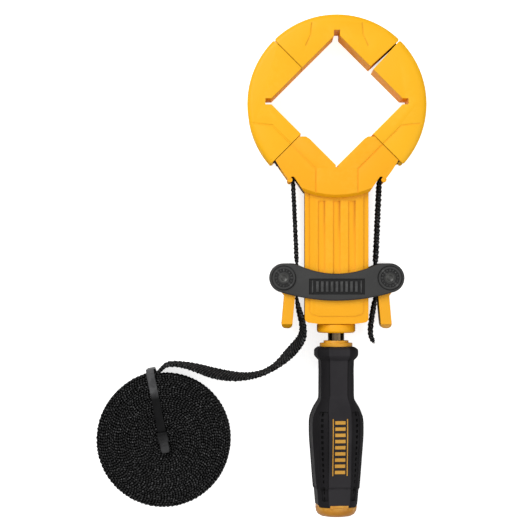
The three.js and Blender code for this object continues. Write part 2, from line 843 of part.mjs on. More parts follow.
function makeHousing() {
  const holes = housingScrews.map(({ x, drop, face, length }) =>
    turnedUpright(screwProfile(face, length, seatGap), x, ringCentreY - drop, 16),
  );
  const padSteps = [-1, 1].map((side) => {
    const bendX = (panelWidth / 2 + ventPitch) / 2;
    const bend = [bendX, padLineStart[1] - (padLineStart[0] - bendX)];
    const end = [bendX, ringCentreY - heelRadius - cutOver];
    const start = [padLineStart[0] + seamCorner, padLineStart[1] + seamCorner];
    const line = [start, bend, end].map(([x, y]) => [side * x, y]);
    return faceGroove(line, padLineWidth, padLineDepth, 0, jawThickness);
  });
  const whole = cutBy(joined([fixedJaw(), narrowBody()]), [vents(), screwSpace(), ...holes, ...padSteps]);
  const wide = ringRadius + cutOver;
  const [lowY, highY] = [bodyEndY - wide, toolLength];
  const above = box(-wide, wide, lowY, highY, midHeight + splitGap / 2, jawThickness + cutOver);
  const below = box(-wide, wide, lowY, highY, -cutOver, midHeight - splitGap / 2);
  addPiece("front_housing", whole.intersect(above), yellowPlastic);
  addPiece("rear_housing", whole.intersect(below), yellowPlastic);
  housingScrews.forEach(({ x, drop, face, length }, i) => {
    const profile = screwProfile(face, length, 0);
    addPiece("housing_screw_" + (i + 1), turnedUpright(profile, x, ringCentreY - drop, 16), steel);
  });
}

// Lead screw and what it turns in

function makeScrewTrain() {
  const shaftEndY = handleTopY - shaftDepth;
  const screw = turnedAlongY([
    [0, shaftEndY],
    [shaftRadius - seatGap, shaftEndY],
    [shaftRadius, shaftEndY + seatGap],
    [shaftRadius, flangeLowY],
    [screwFlangeRadius, flangeLowY],
    [screwFlangeRadius, flangeHighY],
    [threadRadius, flangeHighY],
    [threadRadius, bushLowY - seatGap - screwPitch],
    [tipRadius, bushLowY - seatGap],
    [tipRadius, screwTipY - seatGap],
    [0, screwTipY - seatGap],
  ]);
  addPiece("lead_screw", cutBy(screw, [crossPin(crossPinRadius + pinPlay / 2)]), steel);
  const washerBore = threadRadius + pinPlay;
  addPiece(
    "thrust_washer",
    turnedAlongY([
      [washerBore, flangeHighY + seatGap],
      [screwFlangeRadius, flangeHighY + seatGap],
      [screwFlangeRadius, washerHighY],
      [washerBore, washerHighY],
      [washerBore, flangeHighY + seatGap],
    ]),
    brightSteel,
  );
  const bushBore = tipRadius + pinPlay;
  addPiece(
    "top_bush",
    turnedAlongY([
      [bushBore, bushLowY],
      [bushRadius, bushLowY],
      [bushRadius, bushHighY],
      [bushBore, bushHighY],
      [bushBore, bushLowY],
    ]),
    bronze,
  );
  const collarBore = shaftRadius + pinPlay;
  addPiece(
    "bottom_collar",
    turnedAlongY([
      [collarBore, collarEndY],
      [collarRadius - collarChamfer, collarEndY],
      [collarRadius, collarEndY + collarChamfer],
      [collarRadius, bodyEndY - seatGap],
      [collarNeckRadius, bodyEndY - seatGap],
      [collarNeckRadius, wallTopY + seatGap],
      [collarRimRadius, wallTopY + seatGap],
      [collarRimRadius, rimTopY],
      [collarBore, rimTopY],
      [collarBore, collarEndY],
    ]),
    yellowPlastic,
  );
}

function makeNut() {
  const [lowY, highY] = [nutY - nutHeight / 2, nutY + nutHeight / 2];
  const block = box(
    -nutBlockWidth / 2,
    nutBlockWidth / 2,
    lowY,
    highY,
    midHeight - nutBlockThickness / 2,
    midHeight + nutBlockThickness / 2,
  );
  const wings = box(
    -wingReach,
    wingReach,
    lowY,
    highY,
    midHeight - wingThickness / 2,
    midHeight + wingThickness / 2,
  );
  const bore = rodAlongY(threadRadius + pinPlay, lowY - cutOver, highY + cutOver);
  addPiece("travelling_nut", cutBy(block.add(wings), [bore]), bronze);
}

// Handle

function crossPin(radius) {
  const geometry = new THREE.CylinderGeometry(radius, radius, 2 * (coreNeckRadius - seatGap), 16);
  geometry.rotateZ(Math.PI / 2);
  geometry.translate(0, handleTopY - crossPinDrop, midHeight);
  return solidOf(geometry);
}

// The core's outside, as [radius, drop below the handle's top] under the grip.
function coreUnderGrip(play) {
  const top = bezelLength + seatGap;
  const length = handleLength - gripEndMargin - top;
  return [
    [coreNeckRadius + play, top - (play ? cutOver : 0)],
    [coreNeckRadius + play, top + coreNeckShare * length],
    [coreBellyRadius + play, top + coreBellyShare * length],
    [coreBellyRadius + play, top + coreHipShare * length],
    [coreNeckRadius + play, top + length + (play ? cutOver : 0)],
  ].map(([radius, drop]) => [radius, handleTopY - drop]);
}

function makeHandleCore() {
  const boreRadius = shaftRadius + pinPlay;
  const boreEndY = handleTopY - shaftDepth - seatGap;
  const capTopY = handleEndY + gripEndMargin - seatGap;
  const under = coreUnderGrip(0);
  const core = turnedAlongY(
    [
      [0, handleEndY],
      ...capProfileShares.map(([radiusShare, riseShare]) => [
        radiusShare * capRadius,
        handleEndY + riseShare * (capTopY - handleEndY),
      ]),
      ...under.slice().reverse(),
      [bezelRadius, handleTopY - bezelLength],
      [bezelRadius, handleTopY - bezelStepLength - seatGap],
      [bezelRadius - seatGap, handleTopY - bezelStepLength],
      [bezelStepRadius, handleTopY - bezelStepLength],
      [bezelStepRadius, handleTopY],
      [boreRadius, handleTopY],
      [boreRadius, boreEndY],
      [0, boreEndY],
    ],
    28,
  );
  const tabs = [0, 1, 2, 3].map((quarter) => {
    const tabRadius = capRadius - 3 * seatGap;
    const tabDepth = tabRadius - coreNeckRadius + seatGap;
    const geometry = new THREE.BoxGeometry(tabWidth, tabRise + seatGap, tabDepth);
    geometry.translate(0, capTopY + (tabRise - seatGap) / 2, (tabRadius + coreNeckRadius - seatGap) / 2);
    geometry.rotateY((quarter * 90 + handleRestTurn) * degree);
    geometry.translate(0, 0, midHeight);
    return solidOf(geometry);
  });
  const pinHole = crossPin(crossPinRadius + pinPlay / 2);
  addPiece("handle_core", cutBy(joined([core, ...tabs]), [pinHole]), yellowPlastic);
  addPiece("handle_pin", crossPin(crossPinRadius), brightSteel);
}

// The grip's outer radius along its length, as shares of its length and of its greatest radius.
const gripProfileShares = [
  [0, 0.7],
  [0.022, 0.812],
  [0.062, 0.808],
  [0.098, 0.7],
  [0.32, 0.7],
  [0.36, 0.81],
  [0.398, 0.905],
  [0.437, 0.98],
  [0.475, 1],
  [0.59, 0.987],
  [0.66, 0.956],
  [0.735, 0.927],
  [0.81, 0.897],
  [0.88, 0.86],
  [0.885, 0.842],
  [0.95, 0.8],
  [0.99, 0.77],
  [1, 0.735],
];

// A round bar with four flats of one width, swelling and narrowing along its length.
function gripBar(topY, endY) {
  const points = [];
  gripProfileShares.forEach(([lengthShare, radiusShare]) => {
    const radius = radiusShare * gripRadius;
    const flatDistance = Math.sqrt(radius ** 2 - (flatWidth / 2) ** 2);
    const y = topY + lengthShare * (endY - topY);
    for (let k = 0; k < gripSides; k += 1) {
      const angle = (2 * Math.PI * k) / gripSides;
      const fromFlat = angle - Math.round(angle / (Math.PI / 2)) * (Math.PI / 2);
      const reach = Math.min(radius, flatDistance / Math.cos(fromFlat));
      const turned = angle + handleRestTurn * degree;
      points.push(reach * Math.sin(turned), y, midHeight + reach * Math.cos(turned));
    }
  });
  const rings = gripProfileShares.length;
  const faces = [];
  for (let i = 0; i < rings - 1; i += 1) {
    for (let k = 0; k < gripSides; k += 1) {
      const [a, b] = [i * gripSides + k, i * gripSides + ((k + 1) % gripSides)];
      faces.push(a, a + gripSides, b, b, a + gripSides, b + gripSides);
    }
  }
  for (let k = 1; k < gripSides - 1; k += 1) {
    faces.push(0, k, k + 1);
    const last = (rings - 1) * gripSides;
    faces.push(last, last + k + 1, last + k);
  }
  const geometry = new THREE.BufferGeometry();
  geometry.setAttribute("position", new THREE.Float32BufferAttribute(points, 3));
  geometry.setIndex(faces);
  const solid = solidOf(geometry);
  return solid.volume() > 0 ? solid : solidOf(turnedInsideOut(geometry));
}

function makeGrip() {
  const topY = handleTopY - bezelLength - seatGap;
  const endY = handleEndY + gripEndMargin;
  const boreProfile = coreUnderGrip(seatGap).reverse();
  const [boreEndY, boreTopY] = [boreProfile[0][1], boreProfile[boreProfile.length - 1][1]];
  const bore = turnedAlongY([[0, boreEndY], ...boreProfile, [0, boreTopY]], 28);
  const tabNotches = [0, 1, 2, 3].map((quarter) => {
    const width = tabWidth + 2 * seatGap;
    const geometry = new THREE.BoxGeometry(width, 2 * (tabRise + seatGap), gripRadius);
    geometry.translate(0, endY - seatGap / 2, gripRadius / 2);
    geometry.rotateY((quarter * 90 + handleRestTurn) * degree);
    geometry.translate(0, 0, midHeight);
    return solidOf(geometry);
  });
  addPiece("handle_grip", cutBy(gripBar(topY, endY), [bore, ...tabNotches]), blackRubber);
}

// Yoke

const yokeInnerHalf = bodyHalf + slideGap;
const yokeOuterHalf = yokeInnerHalf + yokePlateThickness;
const dialOuterHalf = yokeOuterHalf + dialHeight;

// Round ends, a dipped upper edge that nests on the ring, and a bowed lower edge.
function yokeOutline() {
  const lowerY = pivotY - yokeSag;
  const dipY = pivotY + yokeDip;
  // The lower edge's circle touches both round ends from outside.
  const drop = yokeSag;
  const lowerRadius = (pivotX ** 2 + drop ** 2 - yokeEndRadius ** 2) / (2 * (drop - yokeEndRadius));
  const lowerCentreY = lowerY + lowerRadius;
  const touchAngle = -Math.atan2(lowerCentreY - pivotY, pivotX) / degree;
  const dipCentreY = dipY + ringRadius;
  const flatY = pivotY + yokeEndRadius;
  const dipEndX = Math.sqrt(ringRadius ** 2 - (dipCentreY - flatY) ** 2);
  const dipAngle = -Math.atan2(dipCentreY - flatY, dipEndX) / degree;
  const dip = arcPoints(0, dipCentreY, ringRadius, -90, dipAngle);
  const end = arcPoints(pivotX, pivotY, yokeEndRadius, 90, touchAngle, yokeEndStepDegrees);
  const lower = arcPoints(0, lowerCentreY, lowerRadius, touchAngle, -90, arcStepDegrees);
  return mirroredOutline([...dip, ...end, ...lower.slice(1)]);
}

function yokePlate(facing) {
  const inner = midHeight + facing * yokeInnerHalf;
  const outer = midHeight + facing * yokeOuterHalf;
  const dialFace = midHeight + facing * dialOuterHalf;
  const [low, high] = [Math.min(inner, outer), Math.max(inner, outer)];
  // The inner side is left square: only the outer edge is chamfered.
  const chamfered = slab(yokeOutline(), midHeight - yokeOuterHalf, midHeight + yokeOuterHalf, yokeEdge);
  const plate = chamfered.intersect(box(-toolLength, toolLength, -toolLength, toolLength, low, high));
  const rootFace = outer - facing * seatGap;
  const headSeat = dialFace - facing * (pinHeadHeight + seatGap);
  const beyond = dialFace + facing * cutOver;
  const rodBetween = (radius, side, from, to) =>
    uprightRod(radius, side * pivotX, pivotY, Math.min(from, to), Math.max(from, to));
  const dials = [-1, 1].map((side) => rodBetween(dialRadius, side, rootFace, dialFace));
  const pinHoles = [-1, 1].flatMap((side) => [
    rodBetween(pinRadius + pinPlay, side, -cutOver, jawThickness + cutOver),
    rodBetween(pinHeadRadius + pinPlay, side, headSeat, beyond),
  ]);
  return cutBy(joined([plate, ...dials]), pinHoles);
}

function plaque() {
  const middleY = pivotY - (yokeSag - yokeDip) / 2 + plaqueRise;
  const topZ = midHeight + yokeOuterHalf;
  const recess = box(
    -plaqueWidth / 2,
    plaqueWidth / 2,
    middleY - plaqueHeight / 2,
    middleY + plaqueHeight / 2,
    topZ - plaqueDepth,
    topZ + cutOver,
  );
  const bars = [];
  const pitch = (plaqueWidth - plaqueBarWidth) / plaqueBarCount;
  const halfHeight = (plaqueBarShare * plaqueHeight) / 2;
  const [lowY, highY] = [middleY - halfHeight, middleY + halfHeight];
  for (let i = 0; i < plaqueBarCount; i += 1) {
    const x = (i - (plaqueBarCount - 1) / 2) * pitch;
    const [lowX, highX] = [x - plaqueBarWidth / 2, x + plaqueBarWidth / 2];
    bars.push(box(lowX, highX, lowY, highY, topZ - 2 * plaqueDepth, topZ - seatGap));
  }
  return recess.subtract(joined(bars));
}

function makeYoke() {
  const front = cutBy(yokePlate(1), [plaque()]);
  addPiece("yoke_front_plate", front, greyPlastic);
  const [anvilLowY, anvilHighY] = [nutY - anvilHeight / 2, nutY + anvilHeight / 2];
  const anvils = [-1, 1].map((side) => {
    const [near, far] = [side * yokeInnerX, side * anvilFaceX];
    const wall = box(
      Math.min(near, far),
      Math.max(near, far),
      anvilLowY,
      anvilHighY,
      midHeight - yokeInnerHalf - seatGap,
      midHeight + yokeInnerHalf - seatGap,
    );
    return wall;
  });
  const socketReach = wingReach + seatGap;
  const wingSocket = box(
    -socketReach,
    socketReach,
    nutY - nutHeight / 2 - seatGap,
    nutY + nutHeight / 2 + seatGap,
    midHeight - wingThickness / 2 - seatGap,
    midHeight + wingThickness / 2 + seatGap,
  );
  addPiece("yoke_rear_plate", cutBy(joined([yokePlate(-1), ...anvils]), [wingSocket]), greyPlastic);
}

// Cam levers

// Drawn about the pivot with the band on the +x side; side -1 is the left lever as it stands.
function leverShape() {
  const cam = [];
  for (let angle = camToothTo; angle >= camToothFrom; angle -= camToothDegrees) {
    const radius = camFaceRadius - camRisePerDegree * angle;
    [[angle, 0], [angle - camToothDegrees * camToothShare, camToothHeight]].forEach(([at, cut]) => {
      cam.push([(radius - cut) * Math.cos(at * degree), (radius - cut) * Math.sin(at * degree)]);
    });
  }
  const tipY = -tailLength;
  const half = tailWidth / 2;
  const cornerY = tipY + tailTipRound;
  const cornerX = half - tailTipRound;
  const tip = [
    ...arcPoints(tailTipOffset + cornerX, cornerY, tailTipRound, 0, -90, tipStepDegrees),
    ...arcPoints(tailTipOffset - cornerX, cornerY, tailTipRound, -90, -180, tipStepDegrees),
  ];
  const hub = arcPoints(0, 0, camHubRadius, hubFromDegrees, camToothTo, hubStepDegrees);
  return outline([
    ...cam,
    [tailRootOffset + half, -tailRootDrop],
    ...tip,
    [tailRootOffset - half, -tailRootDrop],
    ...hub,
  ]);
}

function leverSolid() {
  const leverLowZ = bandBottomZ;
  const leverHighZ = bandTopZ;
  const blank = slab(leverShape(), leverLowZ, leverHighZ);
  const bore = uprightRod(pinRadius + pinPlay, 0, 0, leverLowZ - cutOver, leverHighZ + cutOver);
  const pocket = uprightRod(springPocketRadius, 0, 0, leverHighZ - springPocketDepth, leverHighZ + cutOver);
  return cutBy(blank, [bore, pocket]);
}

function springStations() {
  const steps = springStepsPerTurn * springTurns;
  const lowZ = bandTopZ - springPocketDepth + seatGap + springWire / 2;
  const coil = Array.from({ length: steps + 1 }, (_, i) => {
    const turns = i / springStepsPerTurn;
    const angle = 2 * Math.PI * turns;
    return [springRadius * Math.cos(angle), springRadius * Math.sin(angle), lowZ + springPitch * turns];
  });
  const [first, last] = [coil[0], coil[steps]];
  return [
    [first[0], first[1] - springWire, first[2]],
    ...coil,
    [last[0], last[1] + springWire, last[2]],
  ].map((point) => new THREE.Vector3(...point));
}

// A round wire along points, of five sides.
function wire(points, radius, sides = 5) {
  const corners = [];
  points.forEach((point, i) => {
    const [before, after] = [points[Math.max(0, i - 1)], points[Math.min(points.length - 1, i + 1)]];
    const along = after.clone().sub(before).normalize();
    const out = new THREE.Vector3(along.y, -along.x, 0).normalize();
    const up = new THREE.Vector3().crossVectors(out, along).normalize();
    for (let k = 0; k < sides; k += 1) {
      const angle = (2 * Math.PI * k) / sides;
      const corner = point.clone().addScaledVector(out, radius * Math.cos(angle));
      corners.push(...corner.addScaledVector(up, radius * Math.sin(angle)).toArray());
    }
  });
  const faces = [];
  for (let i = 0; i < points.length - 1; i += 1) {
    for (let k = 0; k < sides; k += 1) {
      const [a, b] = [i * sides + k, i * sides + ((k + 1) % sides)];
      faces.push(a, b, b + sides, a, b + sides, a + sides);
    }
  }
  const last = (points.length - 1) * sides;
  for (let k = 1; k < sides - 1; k += 1) {
    faces.push(0, k + 1, k, last, last + k, last + k + 1);
  }
  const geometry = new THREE.BufferGeometry();
  geometry.setAttribute("position", new THREE.Float32BufferAttribute(corners, 3));
  geometry.setIndex(faces);
  const solid = solidOf(geometry);
  return solid.volume() > 0 ? solid : solidOf(turnedInsideOut(geometry));
}

function pivotPin(x) {
  const rearFace = midHeight - dialOuterHalf;
  const frontFace = midHeight + dialOuterHalf;
  return turnedUpright(
    [
      [0, rearFace],
      [pinHeadRadius, rearFace],
      [pinHeadRadius, rearFace + pinHeadHeight],
      [pinRadius, rearFace + pinHeadHeight],
      [pinRadius, frontFace - pinHeadHeight],
      [pinHeadRadius, frontFace - pinHeadHeight],
      [pinHeadRadius, frontFace],
      [0, frontFace],
    ],
    x,
    pivotY,
  );
}

function makeLevers() {
  const lever = leverSolid();
  const spring = wire(springStations(), springWire / 2);
  const sides = { left: -1, right: 1 };
  Object.entries(sides).forEach(([name, side]) => {
    const placed = (solid) => {
      const geometry = geometryOf(side > 0 ? solid.mirror([1, 0, 0]) : solid);
      geometry.translate(side * pivotX, pivotY, 0);
      return solidOf(geometry);
    };
    addPiece(name + "_cam_lever", placed(lever), yellowPlastic);
    addPiece(name + "_lever_spring", placed(spring), brightSteel);
    addPiece(name + "_pivot_pin", pivotPin(side * pivotX), brightSteel);
  });
}

// Band between the ring, the yoke and the roll

function makeBandRuns() {
  const bend = arcPoints(lipBarX, lipBarY, bandBendRadius, 135, 180, bendStepDegrees);
  const runEndY = yokeTopY + slideGap;
  [["left", -1], ["right", 1]].forEach(([name, side]) => {
    const line = [bandAtSeam, ...bend, [bandInYokeX, runEndY]];
    addPiece(
      "band_" + name + "_run",
      strip(line.map(([x, y]) => [side * x, y, midHeight])),
      webbing,
    );
    addPiece(
      "band_in_" + name + "_cam",
      strip([
        [side * bandInYokeX, yokeTopY, midHeight],
        [side * bandInYokeX, bandFootY, midHeight],
      ]),
      webbing,
    );
  });
}

// A route's stations, placed from the foot of the yoke on one side.
function placedRoute(route, side) {
  return route.map(([out, down, sunk, lean]) => [
    side * (bandInYokeX + out),
    bandFootY - down,
    midHeight - sunk,
    lean,
  ]);
}

function makeFreeBand() {
  addPiece("band_tail_end", strip(placedRoute(tailRoute, 1)), webbing);
  const rollZ = tieThickness + seatGap + bandWidth / 2;
  const pitch = (rollRadius - rollBore) / rollTurns;
  const wound = Array.from({ length: rollTurns * rollStepsPerTurn + 1 }, (_, i) => {
    const angle = (rollStartDegrees + (360 * i) / rollStepsPerTurn) * degree;
    const radius = rollRadius - bandThickness / 2 - (pitch * i) / rollStepsPerTurn;
    return [rollX + radius * Math.cos(angle), rollY + radius * Math.sin(angle), rollZ];
  });
  let leastGap = Infinity;
  wound.slice(rollStepsPerTurn).forEach(([x, y], i) => {
    const [ax, ay] = wound[i];
    const [bx, by] = wound[i + 1];
    const length = Math.hypot(bx - ax, by - ay);
    const apart = Math.abs((x - ax) * (by - ay) - (y - ay) * (bx - ax)) / length;
    leastGap = Math.min(leastGap, apart - bandThickness);
  });
  console.log("least gap between turns of the roll: " + leastGap.toFixed(2) + " mm");
  addPiece("band_roll", strip(wound), webbing);
  const [endX, endY] = wound[0];
  const route = [...placedRoute(freeRoute, -1), [endX + rollLeadIn, endY, rollZ, 0]];
  addPiece("band_free_length", strip(route), webbing);
}

// A flat nylon tie round the roll's section, from its rim to its middle, drawn along +x and turned.
function makeTie() {
  const rollTop = tieThickness + seatGap + bandWidth;
  const topLow = rollTop + seatGap;
  const topHigh = topLow + tieThickness;
  const rimIn = rollRadius + seatGap + bandThickness;
  const rimOut = rimIn + tieThickness;
  const halfWidth = tieWidth / 2;
  const inner = -tieThickness / 2;
  const loop = joined([
    box(inner, rimOut, -halfWidth, halfWidth, topLow, topHigh),
    box(rimIn, rimOut, -halfWidth, halfWidth, 0, topHigh),
    box(inner, rimOut, -halfWidth, halfWidth, 0, tieThickness),
    box(inner, -inner, -halfWidth, halfWidth, 0, topHigh),
  ]);
  const headHalf = tieHeadWidth / 2;
  const [headIn, headOut] = [tieHeadOut - tieHeadLength / 2, tieHeadOut + tieHeadLength / 2];
  const head = box(headIn, headOut, -headHalf, headHalf, topLow, topLow + tieHeadHeight);
  const stub = box(
    headIn - tieTailLength,
    headIn + seatGap,
    -halfWidth,
    halfWidth,
    topLow + tieThickness,
    topLow + 2 * tieThickness,
  );
  const geometry = geometryOf(joined([loop, head, stub]));
  geometry.rotateZ(tieDegrees * degree);
  geometry.translate(rollX, rollY, 0);
  addPiece("roll_tie", solidOf(geometry), nylonTie);
}

makeHousing();
makeScrewTrain();
makeNut();
makeHandleCore();
makeGrip();
makeYoke();
makeLevers();
makeLooseJaws();
makeBandRuns();
makeFreeBand();
makeTie();

export default clamp;
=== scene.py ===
"""Looks of the ratchet band clamp: moulded jaws and housing, ribbed yoke, rubber grip, woven band.

The clamp lies on its back on a pale table. Metres, in the frame of the CAD model.
"""

import math

import bmesh
import bpy
import numpy as np
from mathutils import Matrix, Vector


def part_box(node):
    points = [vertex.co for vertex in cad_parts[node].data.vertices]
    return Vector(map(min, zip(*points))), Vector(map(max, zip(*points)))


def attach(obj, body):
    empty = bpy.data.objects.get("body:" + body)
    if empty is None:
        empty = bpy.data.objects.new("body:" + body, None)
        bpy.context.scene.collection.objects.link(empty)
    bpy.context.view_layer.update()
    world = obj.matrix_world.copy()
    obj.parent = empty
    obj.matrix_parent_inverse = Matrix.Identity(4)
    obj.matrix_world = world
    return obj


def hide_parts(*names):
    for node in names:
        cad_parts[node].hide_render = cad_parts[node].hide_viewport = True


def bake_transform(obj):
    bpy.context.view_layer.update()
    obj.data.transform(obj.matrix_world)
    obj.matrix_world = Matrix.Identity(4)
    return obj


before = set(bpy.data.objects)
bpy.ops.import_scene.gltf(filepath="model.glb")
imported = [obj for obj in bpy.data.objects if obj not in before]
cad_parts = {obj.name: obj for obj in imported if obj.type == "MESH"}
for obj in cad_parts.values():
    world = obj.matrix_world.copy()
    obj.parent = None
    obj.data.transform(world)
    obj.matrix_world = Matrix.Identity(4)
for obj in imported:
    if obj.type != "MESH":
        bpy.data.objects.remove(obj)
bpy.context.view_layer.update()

MM = 0.001

# The clamp's own measures, as in the CAD model
MID_HEIGHT = 18.5 * MM
RING_CENTRE = Vector((0, 101.9 * MM, MID_HEIGHT))
RING_RADIUS = 56.1 * MM
PIVOT_X = 33.2 * MM
PIVOT_Y = -6.95 * MM
YOKE_END_RADIUS = 9.2 * MM
YOKE_SAG = 14.3 * MM
YOKE_DIP = 2.7 * MM
BAND_WIDTH = 25.4 * MM
BAND_FOOT_Y = -18.25 * MM
BAND_IN_YOKE_X = 24.9 * MM
HANDLE_TOP_Y = -46.6 * MM
HANDLE_END_Y = -158 * MM
HANDLE_TURN = math.radians(8)
GRIP_RADIUS = 18.1 * MM
ROLL_CENTRE = Vector((-108.8 * MM, -109.2 * MM, 14.2 * MM))
ROLL_RADIUS = 43 * MM


# Modelling by hand


def select_only(*pieces):
    bpy.ops.object.select_all(action="DESELECT")
    for piece in pieces:
        piece.select_set(True)
    bpy.context.view_layer.objects.active = pieces[0]


def new_primitive(add, name, **sizes):
    """A primitive, made with nothing else selected, and left as the only thing selected."""
    bpy.ops.object.select_all(action="DESELECT")
    add(**sizes)
    piece = bpy.context.object
    piece.name = piece.data.name = name
    return piece


def grid(name, columns, rows, size=1, **settings):
    """A flat grid. Its points lie row by row, with one more to a row than it has columns."""
    add = bpy.ops.mesh.primitive_grid_add
    return new_primitive(
        add, name, x_subdivisions=columns, y_subdivisions=rows, size=size, **settings
    )


def disc(name, sides, radius):
    return new_primitive(
        bpy.ops.mesh.primitive_circle_add, name, vertices=sides, radius=radius, fill_type="NGON"
    )


def settle(piece):
    """Applies a piece's place, turn and scale."""
    select_only(piece)
    bpy.ops.object.transform_apply(location=True, rotation=True, scale=True)


def begin_edit(piece):
    """Opens a piece in edit mode with all of it selected."""
    select_only(piece)
    bpy.ops.object.mode_set(mode="EDIT")
    bpy.ops.mesh.select_all(action="SELECT")


def end_edit():
    bpy.ops.object.mode_set(mode="OBJECT")


def pick(piece, kind, test):
    """Selects in edit mode the faces or the edges that pass the test."""
    bpy.ops.mesh.select_all(action="DESELECT")
    bpy.context.tool_settings.mesh_select_mode = (False, kind == "EDGE", kind == "FACE")
    mesh = bmesh.from_edit_mesh(piece.data)
    for part in mesh.faces if kind == "FACE" else mesh.edges:
        if test(part):
            part.select_set(True)
    bmesh.update_edit_mesh(piece.data)


def at_level(axis, level, within=1e-6):
    """True for an edge or a face that lies at a level of an axis."""
    return lambda part: all(abs(v.co[axis] - level) < within for v in part.verts)


def facing(direction, share=0.99):
    """True for a face whose normal points along a direction."""
    return lambda face: face.normal.dot(direction) > share


def bevel_edges(width, segments=2):
    bpy.ops.mesh.bevel(offset=width, segments=segments, affect="EDGES")


def extrude(rise):
    bpy.ops.mesh.extrude_region_move(TRANSFORM_OT_translate={"value": (0, 0, rise)})


def weld(piece, close=False):
    """Joins points that meet, closes open ends if asked, and turns the normals outwards."""
    begin_edit(piece)
    bpy.ops.mesh.remove_doubles(threshold=1e-6)
    if close:
        bpy.ops.mesh.fill_holes(sides=0)
        bpy.ops.mesh.select_all(action="SELECT")
    bpy.ops.mesh.normals_make_consistent(inside=False)
    end_edit()


def apply_modifier(piece, kind, **values):
    modifier = piece.modifiers.new(kind.title(), kind)
    for key, value in values.items():
        setattr(modifier, key, value)
    select_only(piece)
    bpy.ops.object.modifier_apply(modifier=modifier.name)


def round_edges(piece, width, segments=2, degrees=50):
    """Rounds the edges that turn by more than an angle."""
    limit = math.radians(degrees)
    apply_modifier(
        piece, "BEVEL", width=width, segments=segments, limit_method="ANGLE", angle_limit=limit
    )


def cut_away(piece, tool):
    apply_modifier(piece, "BOOLEAN", object=tool, operation="DIFFERENCE", solver="EXACT")
    bpy.data.objects.remove(tool)


def joined(*parts):
    select_only(*parts)
    bpy.ops.object.join()
    return parts[0]


def block(name, size, place=(0, 0, 0), turn=0, edge=0, segments=2):
    """A box of a size, turned about z and put in its place, its edges rounded if asked."""
    made = new_primitive(bpy.ops.mesh.primitive_cube_add, name, size=1)
    made.scale, made.location, made.rotation_euler = size, place, (0, 0, turn)
    settle(made)
    if edge:
        begin_edit(made)
        bevel_edges(edge, segments)
        end_edit()
    return made


FLAT_DEGREES = 0.6
SHARP_DEGREES = 32


def refined_copy(node_name, edge, segments=3, merge=0.002 * MM):
    """A copy of a CAD node with its facets merged into clean faces and its sharp edges rounded."""
    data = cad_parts[node_name].data.copy()
    piece = bpy.data.objects.new(node_name + "_moulding", data)
    bpy.context.scene.collection.objects.link(piece)
    begin_edit(piece)
    bpy.ops.mesh.remove_doubles(threshold=merge)
    bpy.ops.mesh.dissolve_limited(angle_limit=math.radians(FLAT_DEGREES))
    end_edit()
    if edge:
        round_edges(piece, edge, segments, SHARP_DEGREES)
    return piece


def dress(piece, material, body=None, replaces=(), angle=35):
    """Finishes a piece: its material, smooth shading, its body and what it stands for."""
    piece.data.materials.clear()
    piece.data.materials.append(material)
    settle(piece)
    bpy.ops.object.shade_smooth_by_angle(angle=math.radians(angle))
    if body:
        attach(piece, body)
    if replaces:
        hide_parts(*replaces)


def on_circle(x, y, radius, degrees):
    """A point of a circle round x, y."""
    turn = math.radians(degrees)
    return x + radius * math.cos(turn), y + radius * math.sin(turn)


def shares_along(share, table):
    """The value of a table of shares and values at a share."""
    known = np.array(table)
    return float(np.interp(share, known[:, 0], known[:, 1]))


# Shader nodes


def feed(socket, value):
    """Gives a socket another node's output, or a plain value."""
    if isinstance(value, bpy.types.NodeSocket):
        socket.id_data.links.new(value, socket)
    else:
        socket.default_value = value


def node(tree, kind, **values):
    """A shader node. Values named in_ feed its sockets, and the others are its settings."""
    made = tree.nodes.new("ShaderNode" + kind)
    for key, value in values.items():
        if key.startswith("in_"):
            label = key[3:].replace("_", " ")
            feed(made.inputs[int(label) if label.isdigit() else label], value)
        else:
            setattr(made, key, value)
    return made


def maths(operation, *values, clamp=False):
    """A calculation. Its first value is another node's output."""
    made = node(values[0].id_data, "Math", operation=operation, use_clamp=clamp)
    for socket, value in zip(made.inputs, values):
        feed(socket, value)
    return made.outputs[0]


def times(first, second):
    return maths("MULTIPLY", first, second)


def plus(first, second):
    return maths("ADD", first, second)


def ranged(value, low, high, from_low=0.3, from_high=0.7, kind="LINEAR"):
    """A value that goes from low to high as another goes over its range."""
    made = node(
        value.id_data,
        "MapRange",
        interpolation_type=kind,
        in_Value=value,
        in_From_Min=from_low,
        in_From_Max=from_high,
        in_To_Min=low,
        in_To_Max=high,
    )
    return made.outputs["Result"]


def noise(vector, scale, detail, roughness=0.5, distortion=0.0):
    made = node(
        vector.id_data,
        "TexNoise",
        in_Vector=vector,
        in_Scale=scale,
        in_Detail=detail,
        in_Roughness=roughness,
        in_Distortion=distortion,
    )
    return made.outputs["Fac"]


def stretched(vector, scale, turn=(0, 0, 0)):
    """A place scaled and turned, so that a texture there is drawn out along a line."""
    made = node(vector.id_data, "Mapping", in_Vector=vector, in_Scale=scale, in_Rotation=turn)
    return made.outputs["Vector"]


def mixed_colour(mask, first, second):
    """A colour between two, by a mask. Each is a plain colour or another node's output."""
    mix = node(mask.id_data, "Mix", data_type="RGBA", in_Factor=mask)
    for index, value in ((6, first), (7, second)):
        feed(mix.inputs[index], (*value, 1) if isinstance(value, tuple) else value)
    return mix.outputs[2]


# Effects that more than one finish uses


def effect(name, inputs, outputs):
    """An empty node group. An input without a value is a vector, and the rest are numbers."""
    group = bpy.data.node_groups.new(name, "ShaderNodeTree")
    for label, value in inputs.items():
        kind = "NodeSocketVector" if value is None else "NodeSocketFloat"
        socket = group.interface.new_socket(label, in_out="INPUT", socket_type=kind)
        if value is not None:
            socket.default_value = value
    for label in outputs:
        group.interface.new_socket(label, in_out="OUTPUT", socket_type="NodeSocketFloat")
    entry, out = group.nodes.new("NodeGroupInput"), group.nodes.new("NodeGroupOutput")
    return group, entry.outputs, out.inputs


